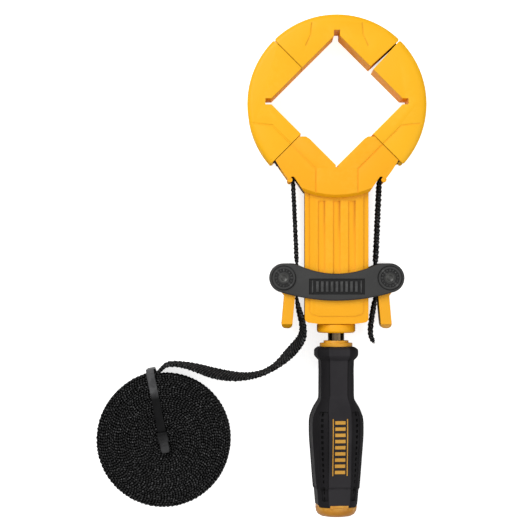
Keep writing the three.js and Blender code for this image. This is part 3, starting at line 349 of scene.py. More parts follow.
def moulded_grain_effect():
    """The fine spark-eroded grain of a mould, and the faint clouding of its colour."""
    group, entry, out = effect(
        "moulded grain",
        {"Vector": None, "Grain Scale": 2600.0, "Cloud Scale": 45.0},
        ("Height", "Cloud"),
    )
    grain = node(
        group,
        "TexVoronoi",
        feature="SMOOTH_F1",
        in_Vector=entry["Vector"],
        in_Scale=entry["Grain Scale"],
        in_Smoothness=0.8,
    )
    fine = noise(entry["Vector"], times(entry["Grain Scale"], 0.6), 4.0, 0.6)
    feed(out["Height"], times(plus(grain.outputs["Distance"], fine), 0.5))
    feed(out["Cloud"], noise(entry["Vector"], entry["Cloud Scale"], 3.0, 0.55))
    return group


def edge_wear_and_painted_light_effect():
    """Paler outer edges, partly wear and partly a painted highlight, broken up by noise, and
    painted shade in inner corners.
    """
    group, entry, out = effect(
        "edge wear and painted light",
        {"Vector": None, "Low": 0.53, "High": 0.62, "Breakup Scale": 260.0},
        ("Mask", "Painted Hollow Shade"),
    )
    pointy = node(group, "NewGeometry").outputs["Pointiness"]
    # Painted shade: inner corners and creases get a dark colour.
    feed(out["Painted Hollow Shade"], ranged(pointy, 0, 1, 0.488, 0.43, "SMOOTHSTEP"))
    # Paler sharp edges, as wear and as a painted highlight.
    rubbed_and_highlit = ranged(pointy, 0, 1, entry["Low"], entry["High"], "SMOOTHSTEP")
    broken = ranged(noise(entry["Vector"], entry["Breakup Scale"], 5.0, 0.65), 0, 1, 0.35, 0.7)
    feed(out["Mask"], maths("MULTIPLY", rubbed_and_highlit, broken, clamp=True))
    return group


def handling_marks_effect():
    """Soft smudges and a few short scuffs, as a change of gloss."""
    group, entry, out = effect(
        "handling marks", {"Vector": None, "Scale": 60.0}, ("Smudge", "Scuff")
    )
    feed(out["Smudge"], noise(entry["Vector"], entry["Scale"], 6.0, 0.62, 0.6))
    drawn_out = stretched(entry["Vector"], (9.0, 1.1, 4.0), (0.3, 0.1, 0.7))
    feed(out["Scuff"], ranged(noise(drawn_out, times(entry["Scale"], 1.7), 3.0), 0, 1, 0.66, 0.74))
    return group


def weave_effect():
    """Webbing woven over its own UV: yarns dip under every other weft, and ribs cross them."""
    group, entry, out = effect(
        "webbing weave", {"UV": None, "Yarns": 26.0, "Wefts": 14.0}, ("Height", "Painted Weave Light")
    )
    split = node(group, "SeparateXYZ", in_0=entry["UV"])
    across = times(split.outputs[0], entry["Yarns"])
    along = times(split.outputs[1], entry["Wefts"])
    phase = plus(along, maths("MODULO", maths("FLOOR", across), 2.0))
    lift = maths("MULTIPLY_ADD", maths("COSINE", times(phase, math.pi)), 0.5, 0.5)
    round_yarn = maths("ABSOLUTE", maths("SINE", times(across, math.pi)))
    woven = times(maths("POWER", round_yarn, 0.6), plus(times(lift, 0.8), 0.2))
    slant = plus(along, times(across, 0.09))
    rib = maths("ABSOLUTE", maths("SINE", times(slant, math.pi)))
    fibres = noise(stretched(entry["UV"], (220.0, 14.0, 1.0)), 1.0, 2.0)
    height = plus(times(woven, 0.45), times(maths("POWER", rib, 0.8), 0.55))
    feed(out["Height"], plus(height, times(fibres, 0.3)))
    # Painted light: the ribs' crowns read paler and the dips between them darker, as highlight and
    # shade.
    shade = plus(times(maths("POWER", rib, 1.6), 0.75), times(woven, 0.25))
    feed(out["Painted Weave Light"], times(shade, plus(fibres, 0.35)))
    return group


GRAIN = moulded_grain_effect()
WEAR_AND_PAINTED_LIGHT = edge_wear_and_painted_light_effect()
MARKS = handling_marks_effect()
WEAVE = weave_effect()


# Finishes


def start_finish(name):
    """A new material, its shader, and the places that its textures go by."""
    material = bpy.data.materials.new(name)
    material.use_nodes = True
    shader = material.node_tree.nodes["Principled BSDF"]
    return material, shader, node(material.node_tree, "TexCoord").outputs


def placed_effect(group, vector, **values):
    """An effect at a place, as its outputs."""
    made = vector.id_data.nodes.new("ShaderNodeGroup")
    made.node_tree = group
    feed(made.inputs[0], vector)
    for key, value in values.items():
        feed(made.inputs[key.replace("_", " ")], value)
    return made.outputs


def complete(shader, colour, gloss, relief, depth, specular, strength=1.0):
    """Gives a shader its colour, its gloss and its relief."""
    bump = node(
        shader.id_data, "Bump", in_Strength=strength, in_Distance=depth, in_Height=relief
    )
    feed(shader.inputs["Base Color"], colour)
    feed(shader.inputs["Roughness"], gloss)
    feed(shader.inputs["Normal"], bump.outputs["Normal"])
    feed(shader.inputs["Specular IOR Level"], specular)


def moulded_finish(name, shade, deep, worn_and_highlit, painted_hollow_shade, rough, grain, specular, wear=(0.53, 0.63)):
    """Moulded plastic or rubber. It clouds from shade to deep, its sharp edges turn paler as wear
    and as a painted highlight, and its inner corners take a painted shade.

    The grain is its scale and its depth. The wear is the sharpness where the paler edge starts and
    is full.
    """
    material, shader, place = start_finish(name)
    scale, depth = grain
    texture = placed_effect(GRAIN, place["Object"], Grain_Scale=scale)
    edges = placed_effect(WEAR_AND_PAINTED_LIGHT, place["Object"], Low=wear[0], High=wear[1])
    marks = placed_effect(MARKS, place["Object"])
    colour = mixed_colour(ranged(texture["Cloud"], 0, 1), deep, shade)
    # Paler sharp edges: wear and a painted highlight.
    colour = mixed_colour(edges["Mask"], colour, worn_and_highlit)
    colour = mixed_colour(times(marks["Scuff"], 0.07), colour, worn_and_highlit)
    # Painted shade in inner corners and creases.
    colour = mixed_colour(times(edges["Painted Hollow Shade"], 0.8), colour, painted_hollow_shade)
    complete(shader, colour, ranged(marks["Smudge"], *rough), texture["Height"], depth, specular)
    return material


def metal_finish(name, shade, deep, rough, line_scale):
    """Turned or drawn metal: fine lines round its length, a little tarnish."""
    material, shader, place = start_finish(name)
    lines = noise(stretched(place["Object"], (1.0, line_scale, 1.0)), 60.0, 4.0, 0.6)
    marks = placed_effect(MARKS, place["Object"], Scale=110.0)
    tone = mixed_colour(ranged(marks["Smudge"], 0, 1), deep, shade)
    complete(shader, tone, ranged(lines, *rough), lines, 0.00002, specular=0.5, strength=0.6)
    feed(shader.inputs["Metallic"], 1.0)
    return material


def webbing_finish():
    """Black nylon webbing. The yarns' crowns are painted paler and the dips between ribs darker, as
    painted light and shade, with painted glints on the crowns.
    """
    material, shader, place = start_finish("black woven webbing")
    weave = placed_effect(WEAVE, place["UV"])
    marks = placed_effect(MARKS, place["Object"], Scale=35.0)
    # Painted highlight and shade on the weave.
    crowns = ranged(weave["Painted Weave Light"], 0, 1, 0.2, 0.8)
    lit_and_shaded_yarn = mixed_colour(crowns, (0.0008, 0.0008, 0.0009), (0.034, 0.034, 0.0345))
    # Painted glints: pale flecks on the paler crowns.
    painted_glint_noise = ranged(noise(place["Object"], 640.0, 2.5, 0.75), 0, 1, 0.53, 0.68)
    painted_glints = times(painted_glint_noise, ranged(weave["Painted Weave Light"], 0.25, 1, 0.25, 0.6))
    with_painted_glints = mixed_colour(painted_glints, lit_and_shaded_yarn, (0.13, 0.13, 0.132))
    dust = ranged(marks["Smudge"], 0, 0.15, 0.5, 0.8)
    dusty = mixed_colour(dust, with_painted_glints, (0.02, 0.02, 0.02))
    gloss = ranged(weave["Height"], 1.0, 0.8, 0.1, 1.0)
    complete(shader, dusty, gloss, weave["Height"], 0.0006, specular=0.02)
    return material


def tie_finish_with_painted_highlights():
    """Dark nylon, with painted highlights: paler where the strap turns over the roll's rim and on
    its stub.
    """
    material, shader, place = start_finish("dark tie nylon")
    marks = placed_effect(MARKS, place["Object"], Scale=150.0)
    grain = placed_effect(GRAIN, place["Object"], Grain_Scale=900.0)

    def away_from(point):
        made = node(
            shader.id_data, "VectorMath", operation="DISTANCE", in_0=place["Object"], in_1=point
        )
        return made.outputs["Value"]

    # Painted highlights: paler near the strap's turn over the rim and on its stub, broken up by
    # smudges.
    painted_bend_highlight = ranged(away_from((-0.1165, -0.0695, 0.028)), 0.75, 0.0, 0.009, 0.0145)
    stub = ranged(away_from((-0.1077, -0.1133, 0.029)), 0.34, 0.04, 0.003, 0.009)
    painted_highlight_patches = times(maths("MAXIMUM", painted_bend_highlight, stub), ranged(marks["Smudge"], 0.6, 1.1, 0.4, 0.62))
    tone = mixed_colour(painted_highlight_patches, (0.0035, 0.0035, 0.0038), (0.115, 0.115, 0.118))
    gloss = ranged(marks["Smudge"], 0.2, 0.36)
    complete(shader, tone, gloss, grain["Height"], 0.00002, specular=0.07)
    return material


FRESH_NYLON = {"rough": (0.4, 0.48), "grain": (2300.0, 0.00003), "specular": 0.25}
AGED_NYLON = {"rough": (0.3, 0.42), "grain": (2600.0, 0.00003), "specular": 0.3}

# Colours in the order shade, deep, paler edge for wear and painted highlight, painted shade of
# hollows
YELLOW = moulded_finish(
    "yellow moulded nylon",
    (0.955, 0.48, 0.006), (0.94, 0.465, 0.005), (0.97, 0.51, 0.02), (0.56, 0.19, 0.003),
    **FRESH_NYLON,
)
HOUSING_YELLOW = moulded_finish(
    "yellow housing nylon",
    (0.965, 0.428, 0.005), (0.95, 0.415, 0.004), (0.97, 0.455, 0.015), (0.56, 0.18, 0.003),
    **FRESH_NYLON,
)
LEVER_YELLOW = moulded_finish(
    "yellow lever nylon",
    (0.92, 0.415, 0.006), (0.9, 0.4, 0.005), (0.97, 0.56, 0.07), (0.5, 0.17, 0.003),
    rough=(0.3, 0.44), grain=(3200.0, 0.00002), specular=0.3,
)
CORE_AMBER = moulded_finish(
    "amber core nylon",
    (0.58, 0.24, 0.022), (0.47, 0.18, 0.016), (0.72, 0.38, 0.06), (0.2, 0.07, 0.004),
    **AGED_NYLON,
)
# A lighter copy of the core's amber for its flange: painted highlight.
LIT_FLANGE_AMBER = moulded_finish(
    "core amber lightened on the flange as painted highlight",
    (0.78, 0.36, 0.024), (0.66, 0.29, 0.018), (0.9, 0.52, 0.06), (0.3, 0.1, 0.004),
    **AGED_NYLON,
)
INLAY_YELLOW = moulded_finish(
    "muted yellow inlay",
    (0.66, 0.34, 0.045), (0.55, 0.27, 0.03), (0.78, 0.5, 0.1), (0.2, 0.09, 0.01),
    rough=(0.38, 0.52), grain=(2600.0, 0.00003), specular=0.3,
)
YOKE_BLACK = moulded_finish(
    "charcoal glass-filled nylon",
    (0.051, 0.051, 0.05), (0.04, 0.04, 0.04), (0.12, 0.12, 0.12), (0.006, 0.006, 0.006),
    rough=(0.5, 0.66), grain=(1300.0, 0.00009), specular=0.2,
)
GRIP_RUBBER = moulded_finish(
    "black soft-grip rubber",
    (0.03, 0.028, 0.031), (0.022, 0.0205, 0.023), (0.055, 0.053, 0.055), (0.003, 0.003, 0.003),
    rough=(0.5, 0.68), grain=(1900.0, 0.00004), specular=0.1, wear=(0.55, 0.68),
)
# Duller, textured rubber on the grip's rounded sides, its colour also darkened as painted shade
# where the sides turn from the light.
GRIP_SHADED_SIDE_RUBBER = moulded_finish(
    "dull rubber beside the flats, painted darker as shade",
    (0.0155, 0.0145, 0.016), (0.011, 0.0103, 0.0115), (0.035, 0.033, 0.035), (0.002, 0.002, 0.002),
    rough=(0.6, 0.74), grain=(1500.0, 0.00006), specular=0.1, wear=(0.55, 0.68),
)
DARK_STEEL = metal_finish(
    "blackened steel", (0.27, 0.19, 0.1), (0.075, 0.056, 0.04), (0.12, 0.22), 30.0
)
PIN_STEEL = metal_finish(
    "oiled pin steel", (0.1, 0.1, 0.097), (0.05, 0.05, 0.048), (0.3, 0.48), 12.0
)
BRIGHT_STEEL = metal_finish(
    "zinc-plated steel", (0.62, 0.62, 0.6), (0.4, 0.4, 0.39), (0.24, 0.42), 12.0
)
BRONZE = metal_finish(
    "sintered bronze", (0.62, 0.38, 0.16), (0.4, 0.23, 0.09), (0.35, 0.55), 8.0
)
TIE_NYLON = tie_finish_with_painted_highlights()
WEBBING = webbing_finish()


# Camera, table and light

CAMERA_PLACE = (-0.045, 0.00115, 1.387)
CAMERA_HEIGHT_OVER_JAWS = 1.35
HALF_PICTURE_WIDTH = 0.1656
HALF_SENSOR = 18


def make_camera():
    """Straight above the table, at the photograph's distance."""
    bpy.ops.object.select_all(action="DESELECT")
    bpy.ops.object.camera_add(location=CAMERA_PLACE, rotation=(0, 0, 0))
    camera = bpy.context.object
    camera.name = "overhead_camera"
    camera.data.sensor_width = 2 * HALF_SENSOR
    camera.data.lens = HALF_SENSOR * CAMERA_HEIGHT_OVER_JAWS / HALF_PICTURE_WIDTH
    camera.data.clip_end = 20
    bpy.context.scene.camera = camera


def make_table():
    """A broad pale table top, a little brighter to the eye than to the lamps."""
    table = grid("table_top", 12, 12, size=6)
    material = bpy.data.materials.new("pale table")
    material.use_nodes = True
    tree = material.node_tree
    shader = tree.nodes["Principled BSDF"]
    feed(shader.inputs["Base Color"], (0.84, 0.84, 0.836, 1))
    feed(shader.inputs["Roughness"], 0.8)
    feed(shader.inputs["Specular IOR Level"], 0.1)
    rays = node(tree, "LightPath").outputs
    seen = maths("MAXIMUM", rays["Is Camera Ray"], rays["Is Transmission Ray"])
    glow = node(tree, "Emission", in_Strength=times(seen, 0.75))
    both = node(tree, "AddShader", in_0=shader.outputs[0], in_1=glow.outputs[0])
    feed(tree.nodes["Material Output"].inputs["Surface"], both.outputs[0])
    table.data.materials.append(material)


# A lamp's name, place, size and power
LAMPS = (
    ("key_lamp", (-0.75, 0.75, 1.15), 0.9, 11.8),
    ("fill_lamp", (0.9, -0.5, 1.0), 0.9, 3.2),
)


def make_light():
    """A white room, brightest overhead, a soft lamp from the upper left and a weaker one."""
    world = bpy.data.worlds.new("white room")
    world.use_nodes = True
    bpy.context.scene.world = world
    tree = world.node_tree
    height = node(tree, "SeparateXYZ", in_0=node(tree, "TexCoord").outputs["Generated"])
    overhead = ranged(height.outputs["Z"], 0.02, 1.03, 0.15, 1.0)
    eye = node(tree, "LightPath").outputs["Is Camera Ray"]
    strength = node(tree, "Mix", data_type="FLOAT", in_0=eye, in_2=overhead, in_3=1.0)
    room = tree.nodes["Background"]
    feed(room.inputs["Color"], (1, 1, 1, 1))
    feed(room.inputs["Strength"], strength.outputs[0])
    for name, place, size, power in LAMPS:
        bpy.ops.object.select_all(action="DESELECT")
        bpy.ops.object.light_add(type="AREA", location=place)
        lamp = bpy.context.object
        lamp.name = name
        lamp.data.size = size
        lamp.data.energy = power
        lamp.rotation_euler = (-Vector(place)).to_track_quat("-Z", "Y").to_euler()


make_camera()
make_table()
make_light()
bpy.context.scene.view_settings.view_transform = "Standard"


# Woven band. A line is rows of x, y, z, lean and thickness

ROLL_THICKNESS = 1.36 * MM
RUN_THICKNESS = 2.4 * MM
TAIL_THICKNESS = 2.1 * MM
LAID_THICKNESS = 0.8 * RUN_THICKNESS
PINCHED_THICKNESS = 1.45 * MM
SELVEDGE = 0.65 * MM
WEAVE_PITCH = 2.7 * MM


def section_of_webbing():
    """Flat faces and round selvedges: shares of the half thickness, and places over the width.

    The second list says how far round the section each point is, in band widths.
    """
    edge = BAND_WIDTH / 2 - SELVEDGE
    points = [(1.0, edge * share) for share in (-0.5, 0.0, 0.5)]
    points += [(math.cos(a), edge + SELVEDGE * math.sin(a)) for a in (0.0, 0.9, 1.57, 2.24)]
    points += [(-x, -y) for x, y in points]
    length = [0.0]
    for (ax, ay), (bx, by) in zip(points, points[1:] + points[:1]):
        length.append(length[-1] + math.hypot((bx - ax) * SELVEDGE, by - ay))
    return points, [value / BAND_WIDTH for value in length]


def lengths_along(rows):
    steps = np.linalg.norm(np.diff(rows[:, :3], axis=0), axis=1)
    return np.concatenate([[0], np.cumsum(steps)])


def evened_line(rows, step):
    """The same line with its points at even steps of its length."""
    travelled = lengths_along(rows)
    even = np.linspace(0, travelled[-1], max(2, int(round(travelled[-1] / step)) + 1))
    return np.column_stack([np.interp(even, travelled, rows[:, k]) for k in range(rows.shape[1])])


def smoothed_line(points, rounds=4):
    """The same line with its corners cut round after round, its two ends kept."""
    rows = np.array(points, float)
    for _ in range(rounds):
        cut = np.empty((2 * (len(rows) - 1), rows.shape[1]))
        cut[0::2] = 0.75 * rows[:-1] + 0.25 * rows[1:]
        cut[1::2] = 0.25 * rows[:-1] + 0.75 * rows[1:]
        rows = np.vstack([rows[:1], cut, rows[-1:]])
    return rows


def rippled_places(rows, travelled, section, wave, seed):
    """Where each point of each section lies. The selvedges ripple with the weave."""
    along = np.gradient(rows[:, :2], axis=0)
    along /= np.linalg.norm(along, axis=1)[:, None]
    chance = np.random.RandomState(seed)
    loose = np.convolve(chance.normal(size=len(rows)), (0.25, 0.5, 0.25), mode="same")[:, None]
    wander = 1.1 * np.sin(travelled / (5.3 * MM)) + 0.8 * np.sin(travelled / (2.3 * MM) + 1.3)
    phase = (2 * math.pi * travelled / WEAVE_PITCH + wander)[:, None]
    closed = np.array(section + section[:1])
    rim = np.clip(np.abs(closed[:, 1]) / (BAND_WIDTH / 2) - 0.8, 0, None) / 0.2
    end = np.sign(closed[:, 1])
    off = closed[:, 0] * (rows[:, 4:5] / 2) * (1 + 0.16 * rim * np.cos(2 * phase))
    off = off + rim * wave * (np.sin(phase + 0.9 * end) + 0.35 * loose)
    up = closed[:, 1] + end * rim * wave * (np.cos(2 * phase) + 0.7 * loose)
    cos, sin = np.cos(rows[:, 3])[:, None], np.sin(rows[:, 3])[:, None]
    out, rise = off * cos + up * sin, up * cos - off * sin
    x = rows[:, 0:1] - along[:, 1:2] * out
    y = rows[:, 1:2] + along[:, 0:1] * out
    return np.stack([x, y, rows[:, 2:3] + rise], axis=-1)


def webbing_strip(name, line, step=0.6 * MM, wave=0.28 * MM, seed=1):
    """Webbing stood on edge along a line, and its length."""
    rows = evened_line(np.array(line, float), step)
    travelled = lengths_along(rows)
    section, around = section_of_webbing()
    strip = grid(name, len(section), len(rows) - 1, calc_uvs=True)
    places = rippled_places(rows, travelled, section, wave, seed)
    strip.data.vertices.foreach_set("co", places.ravel())
    weave = strip.data.uv_layers.active
    weave.name = "weave"
    for loop in strip.data.loops:
        row, k = divmod(loop.vertex_index, len(around))
        weave.data[loop.index].uv = (around[k], travelled[row] / BAND_WIDTH)
    weld(strip, close=True)
    return strip, travelled[-1]


def dress_webbing(strip, replaces, body=None):
    dress(strip, WEBBING, body, replaces, angle=60)


BAND_RADIUS = 52.3 * MM
LIP = Vector((29.4 * MM, 54.45 * MM, MID_HEIGHT))
BEND_RADIUS = 2.1 * MM
FOOT_OF_RUN_Y = 2.25 * MM
SEAM_TURNS = {
    "lower right": -42.5,
    "upper right": 44.35,
    "upper left": 134.75,
    "lower left": 222.5,
}
# How far the right jaw's webbing runs on behind the lip, to the left and down
TONGUE = 13 * MM / math.sqrt(2)


def band_arc(first, last, step=2.0):
    """The band's middle line round the ring, between two seams."""
    start, end = SEAM_TURNS[first], SEAM_TURNS[last]
    turns = np.linspace(start, end, int(abs(end - start) / step) + 1)
    ring = (RING_CENTRE.x, RING_CENTRE.y, BAND_RADIUS)
    return [(*on_circle(*ring, turn), MID_HEIGHT, 0, LAID_THICKNESS) for turn in turns]


def lip_bend(side):
    """Down the fixed jaw's channel, round the lip bar and on to the foot of the yoke."""
    rows = []
    for turn in (135, 145, 155, 165, 180):
        x, y = on_circle(LIP.x, LIP.y, BEND_RADIUS, turn)
        rows.append((x, y, LAID_THICKNESS))
    for y, thickness in (
        (50 * MM, RUN_THICKNESS),
        (4.5 * MM, RUN_THICKNESS),
        (FOOT_OF_RUN_Y, PINCHED_THICKNESS),
    ):
        share = (LIP.y - y) / (LIP.y - FOOT_OF_RUN_Y)
        x = LIP.x - BEND_RADIUS + share * (BAND_IN_YOKE_X - LIP.x + BEND_RADIUS)
        rows.append((x, y, thickness))
    rows.append((BAND_IN_YOKE_X, BAND_FOOT_Y, PINCHED_THICKNESS))
    return [(side * x, y, MID_HEIGHT, 0, thickness) for x, y, thickness in rows]


def make_bands_round_jaws():
    """Webbing in the jaws' grooves, each length running round the ring from one seam to the next.
    """
    right_x, right_y = band_arc("lower right", "upper right")[0][:2]
    tongue = (right_x - TONGUE, right_y - TONGUE, MID_HEIGHT, 0, PINCHED_THICKNESS)
    plans = (
        ("left", "head", band_arc("lower left", "upper left")),
        ("top", "left_jaw_body", band_arc("upper left", "upper right")),
        ("right", "top_jaw_body", band_arc("upper right", "lower right") + [tongue]),
    )
    for seed, (name, before, line) in enumerate(plans):
        jaw = name + "_jaw"
        strip, length = webbing_strip("webbing_on_" + jaw, line, seed=seed)
        dress_webbing(strip, ["band_on_" + jaw])
        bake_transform(strip)


def make_runs_to_yoke():
    """The two stretched runs from the fixed jaw's lips down through the cams."""
    plans = (("left", -1, -38.55 * MM, 66.57 * MM), ("right", 1, 29.36 * MM, 57.37 * MM))
    for name, side, start_x, start_y in plans:
        line = [(start_x, start_y, MID_HEIGHT, 0, PINCHED_THICKNESS)] + lip_bend(side)
        run = "webbing_%s_run" % name
        strip, length = webbing_strip(run, line, wave=0.36 * MM, seed=7 + side)
        nodes = ["band_%s_run" % name, "band_in_%s_cam" % name]
        dress_webbing(strip, nodes)
        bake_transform(strip)


# From the foot of the yoke: outwards, down, sunk below the middle, lean in degrees
FREE_ROUTE = (
    (0.0, 0.0, 0, 0), (0.0, 1.5, 0, 0), (-0.3, 3.8, 0, 0.5), (-1.1, 7.6, 0.1, 2),
    (-2.1, 11.4, 0.2, 3.5), (-3.1, 15.2, 0.3, 4), (-3.9, 19, 0.4, 4), (-4.1, 22.8, 0.5, 5),
    (-3.2, 26.8, 0.7, 7), (-0.6, 30.8, 0.9, 9), (2.7, 34.5, 1.2, 9.5), (6.3, 38.3, 1.5, 8.5),
    (10.2, 42.1, 1.8, 5), (15.7, 46.2, 2.1, 2), (22.4, 49.6, 2.4, 1.5), (32.5, 51.5, 2.8, 4),
    (43.1, 51.1, 3.1, 8), (53.1, 49.2, 3.4, 9), (62.1, 46.3, 3.6, 6), (69.7, 44.3, 3.8, 2.5),
    (76.3, 43.4, 3.9, 1), (80.5, 43.3, 4, 1), (83.6, 44.4, 4.1, 1), (85.8, 46.5, 4.2, 0.5),
    (87.2, 48.1, 4.3, 0),
)
TAIL_ROUTE = (
    (0.0, 0.0, 0, 0), (0.1, 1.5, 0, 0), (-0.5, 3.8, 0, 0), (-1.2, 7.6, 0, 0.3),
    (-2.0, 12, 0, 0.4), (-2.6, 16, 0.1, 0.4), (-3.1, 20, 0.1, 0.4), (-3.25, 23, 0.2, 0.4),
    (-2.8, 26.2, 0.3, 0.4), (-1.6, 28.8, 0.4, 0.4),
)
ROLL_PITCH = 1.4 * MM
ROLL_TURNS = 28.5
ROLL_START = math.radians(98)
STEPS_PER_TURN = 120


def placed_route(route, side, thickness):
    """A route as rows, which swell from the cam's pinch to a thickness."""
    return [
        (
            side * (BAND_IN_YOKE_X + out * MM),
            BAND_FOOT_Y - down * MM,
            MID_HEIGHT - sunk * MM,
            math.radians(lean),
            PINCHED_THICKNESS + min(1, down / 6) * (thickness - PINCHED_THICKNESS),
        )
        for out, down, sunk, lean in route
    ]


def wound_line():
    """The roll's spiral from its outside in, each turn a hair higher or lower than the last."""
    rows = []
    for i in range(int(ROLL_TURNS * STEPS_PER_TURN) + 1):
        turns = i / STEPS_PER_TURN
        angle = ROLL_START + 2 * math.pi * turns
        radius = ROLL_RADIUS - ROLL_THICKNESS / 2 - 0.1 * MM - ROLL_PITCH * turns
        settling = 0.22 * math.sin(2.4 * turns + 0.8) + 0.14 * math.sin(7.3 * turns)
        x, y = ROLL_CENTRE.x + radius * math.cos(angle), ROLL_CENTRE.y + radius * math.sin(angle)
        rows.append((x, y, ROLL_CENTRE.z + settling * MM, 0, ROLL_THICKNESS))
    return rows


def make_spare_webbing():
    """The free length and its roll, one unbroken strip. It bends between the yoke and the roll."""
    wound = wound_line()
    lead_in = (wound[0][0] + 1.2 * MM, wound[0][1], ROLL_CENTRE.z, 0, ROLL_THICKNESS)
    route = placed_route(FREE_ROUTE, -1, RUN_THICKNESS)
    line = list(smoothed_line(route + [lead_in, wound[0]])) + wound[1:]
    strip, length = webbing_strip(
        "webbing_spare_roll", line, step=0.72 * MM, wave=0.27 * MM, seed=11
    )
    dress_webbing(strip, ["band_free_length", "band_roll"])
    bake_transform(strip)


THREADS = 26


def frayed_thread(k, end, towards):
    """One of the tail's loose threads: it tapers, and splays and droops a little."""
    across = Vector((-towards.y, towards.x, 0))
    height = (k / (THREADS - 1) - 0.5) * (BAND_WIDTH - 1.2 * MM)
    reach = (1.1 + 0.9 * math.sin(k * 2.7) ** 2) * MM
    splay = 0.5 * MM * math.sin(k * 1.9 + 0.5)
    thread = new_primitive(
        bpy.ops.mesh.primitive_cylinder_add,
        "tail_thread",
        vertices=5,
        radius=0.16 * MM,
        depth=reach,
        location=(0, 0, 0),
    )
    turn = towards.to_track_quat("Z", "Y")
    for vertex in thread.data.vertices:
        share = vertex.co.z / reach + 0.5
        taper = 1 - 0.6 * share
        vertex.co = (
            end
            + towards * (share * reach - 0.3 * MM)
            + across * (splay * share**2 + (k % 3 - 1) * 0.35 * MM)
            + Vector((0, 0, height + 0.4 * MM * share * math.sin(k * 3.1)))
            + turn @ Vector((vertex.co.x * taper, vertex.co.y * taper, 0))
        )
    thread.data.uv_layers.active.name = "weave"
    return thread


def make_tail():
    """The band's cut end under the right cam, its last threads frayed."""
    line = smoothed_line(placed_route(TAIL_ROUTE, 1, TAIL_THICKNESS))
    strip, length = webbing_strip("webbing_tail", line, wave=0.3 * MM, seed=5)
    end = Vector(line[-1][:3])
    towards = (end - Vector(line[-8][:3])).normalized()
    joined(strip, *(frayed_thread(k, end, towards) for k in range(THREADS)))
    dress_webbing(strip, ["band_tail_end"], body="yoke")


make_bands_round_jaws()
make_runs_to_yoke()
make_spare_webbing()
make_tail()


# Cable tie round the roll

TIE_TURN = math.radians(101.3)
TIE_OUT = Vector((math.cos(TIE_TURN), math.sin(TIE_TURN), 0))
TIE_WIDTH = 5 * MM
TIE_THICKNESS = 1.2 * MM
TIE_LOW = 0.6 * MM
TIE_HIGH = 28 * MM
STUB_LENGTH = 7.4 * MM
STUB_THICKNESS = 1.1 * MM


def tie_strap():
    """The strap's loop: out under the roll from its middle, up, back over it and down again."""
    across = Vector((-TIE_OUT.y, TIE_OUT.x, 0))
    low, high, far = TIE_LOW, TIE_HIGH, ROLL_RADIUS + 2.1 * MM
    path = (
        (0, 14 * MM), (0, low + 2.5 * MM), (0.8 * MM, low + 0.8 * MM), (2.5 * MM, low),
        (far - 2.5 * MM, low), (far - 0.8 * MM, low + 0.8 * MM), (far, low + 2.5 * MM),
        (far, high - 3.2 * MM), (far - 1.0 * MM, high - 1.2 * MM),
        (far - 3.2 * MM, high - 0.1 * MM), (far - 6 * MM, high), (2.5 * MM, high),
        (0.8 * MM, high - 0.8 * MM), (0, high - 2.5 * MM),
    )
    strap = grid("roll_tie_strap", 2, len(path))
    for row, (reach, height) in enumerate(path + path[:1]):
        for k in range(3):
            point = TIE_OUT * reach + across * ((k / 2 - 0.5) * TIE_WIDTH)
            place = Vector((ROLL_CENTRE.x, ROLL_CENTRE.y, height)) + point
            strap.data.vertices[3 * row + k].co = place
    weld(strap)
    apply_modifier(strap, "SOLIDIFY", thickness=TIE_THICKNESS, offset=0, use_even_offset=True)
    round_edges(strap, 0.35 * MM)
    return strap


def tie_stub():
    """The strap's cut end. It leaves the head level, rises a little and tapers to its tip."""
    stub = grid("roll_tie_stub", 14, 2)
    for vertex in stub.data.vertices:
        share = vertex.co.x + 0.5
        taper = 1 - 0.18 * max(0, (0.25 - share) / 0.25)
        vertex.co = (
            -2.4 * MM - STUB_LENGTH * (1 - share),
            vertex.co.y * 5.4 * MM * taper,
            1.0 * MM + 0.8 * MM * (1 - share) ** 2,
        )
    apply_modifier(stub, "SOLIDIFY", thickness=STUB_THICKNESS, offset=0)
    round_edges(stub, 0.25 * MM)
    return stub


def make_tie():
    """A flat tie over, down and under the roll, with its head and stub on top."""
    strap = tie_strap()
    head = block("roll_tie_head", (6.3 * MM, 6.4 * MM, 3.6 * MM), edge=0.4 * MM)
    begin_edit(head)
    pick(head, "FACE", facing((0, 0, 1)))
    bpy.ops.mesh.inset(thickness=1.1 * MM)
    extrude(-0.35 * MM)
    end_edit()
    stub = tie_stub()
    for piece in (head, stub):
        above = Vector((ROLL_CENTRE.x, ROLL_CENTRE.y, TIE_HIGH + 1.0 * MM))
        piece.location = above + TIE_OUT * 2.0 * MM
        piece.rotation_euler = (0, 0, TIE_TURN)
        settle(piece)
    joined(strap, head, stub)
    dress(strap, TIE_NYLON, "head", ["roll_tie"], angle=40)


make_tie()


# Yoke

PLATE_THICKNESS = 3.4 * MM
FRONT_PLATE_Z = 32.1 * MM
REAR_PLATE_Z = 4.9 * MM
DIAL_SIDES = 72
DIAL_RADIUS = 7.15 * MM
SEAT_RADIUS = 7.75 * MM
TICKS = 16
TICK_REACH = 4.95 * MM
RIBS = 11
RIB_PITCH = 3.05 * MM
ANVIL_Y = -9.85 * MM


def arc(x, y, radius, start, end, step):
    """Points of a circle from one turn to another, about a step of degrees apart."""
    count = max(1, int(round(abs(end - start) / step)))
    return [on_circle(x, y, radius, turn) for turn in np.linspace(start, end, count + 1)]


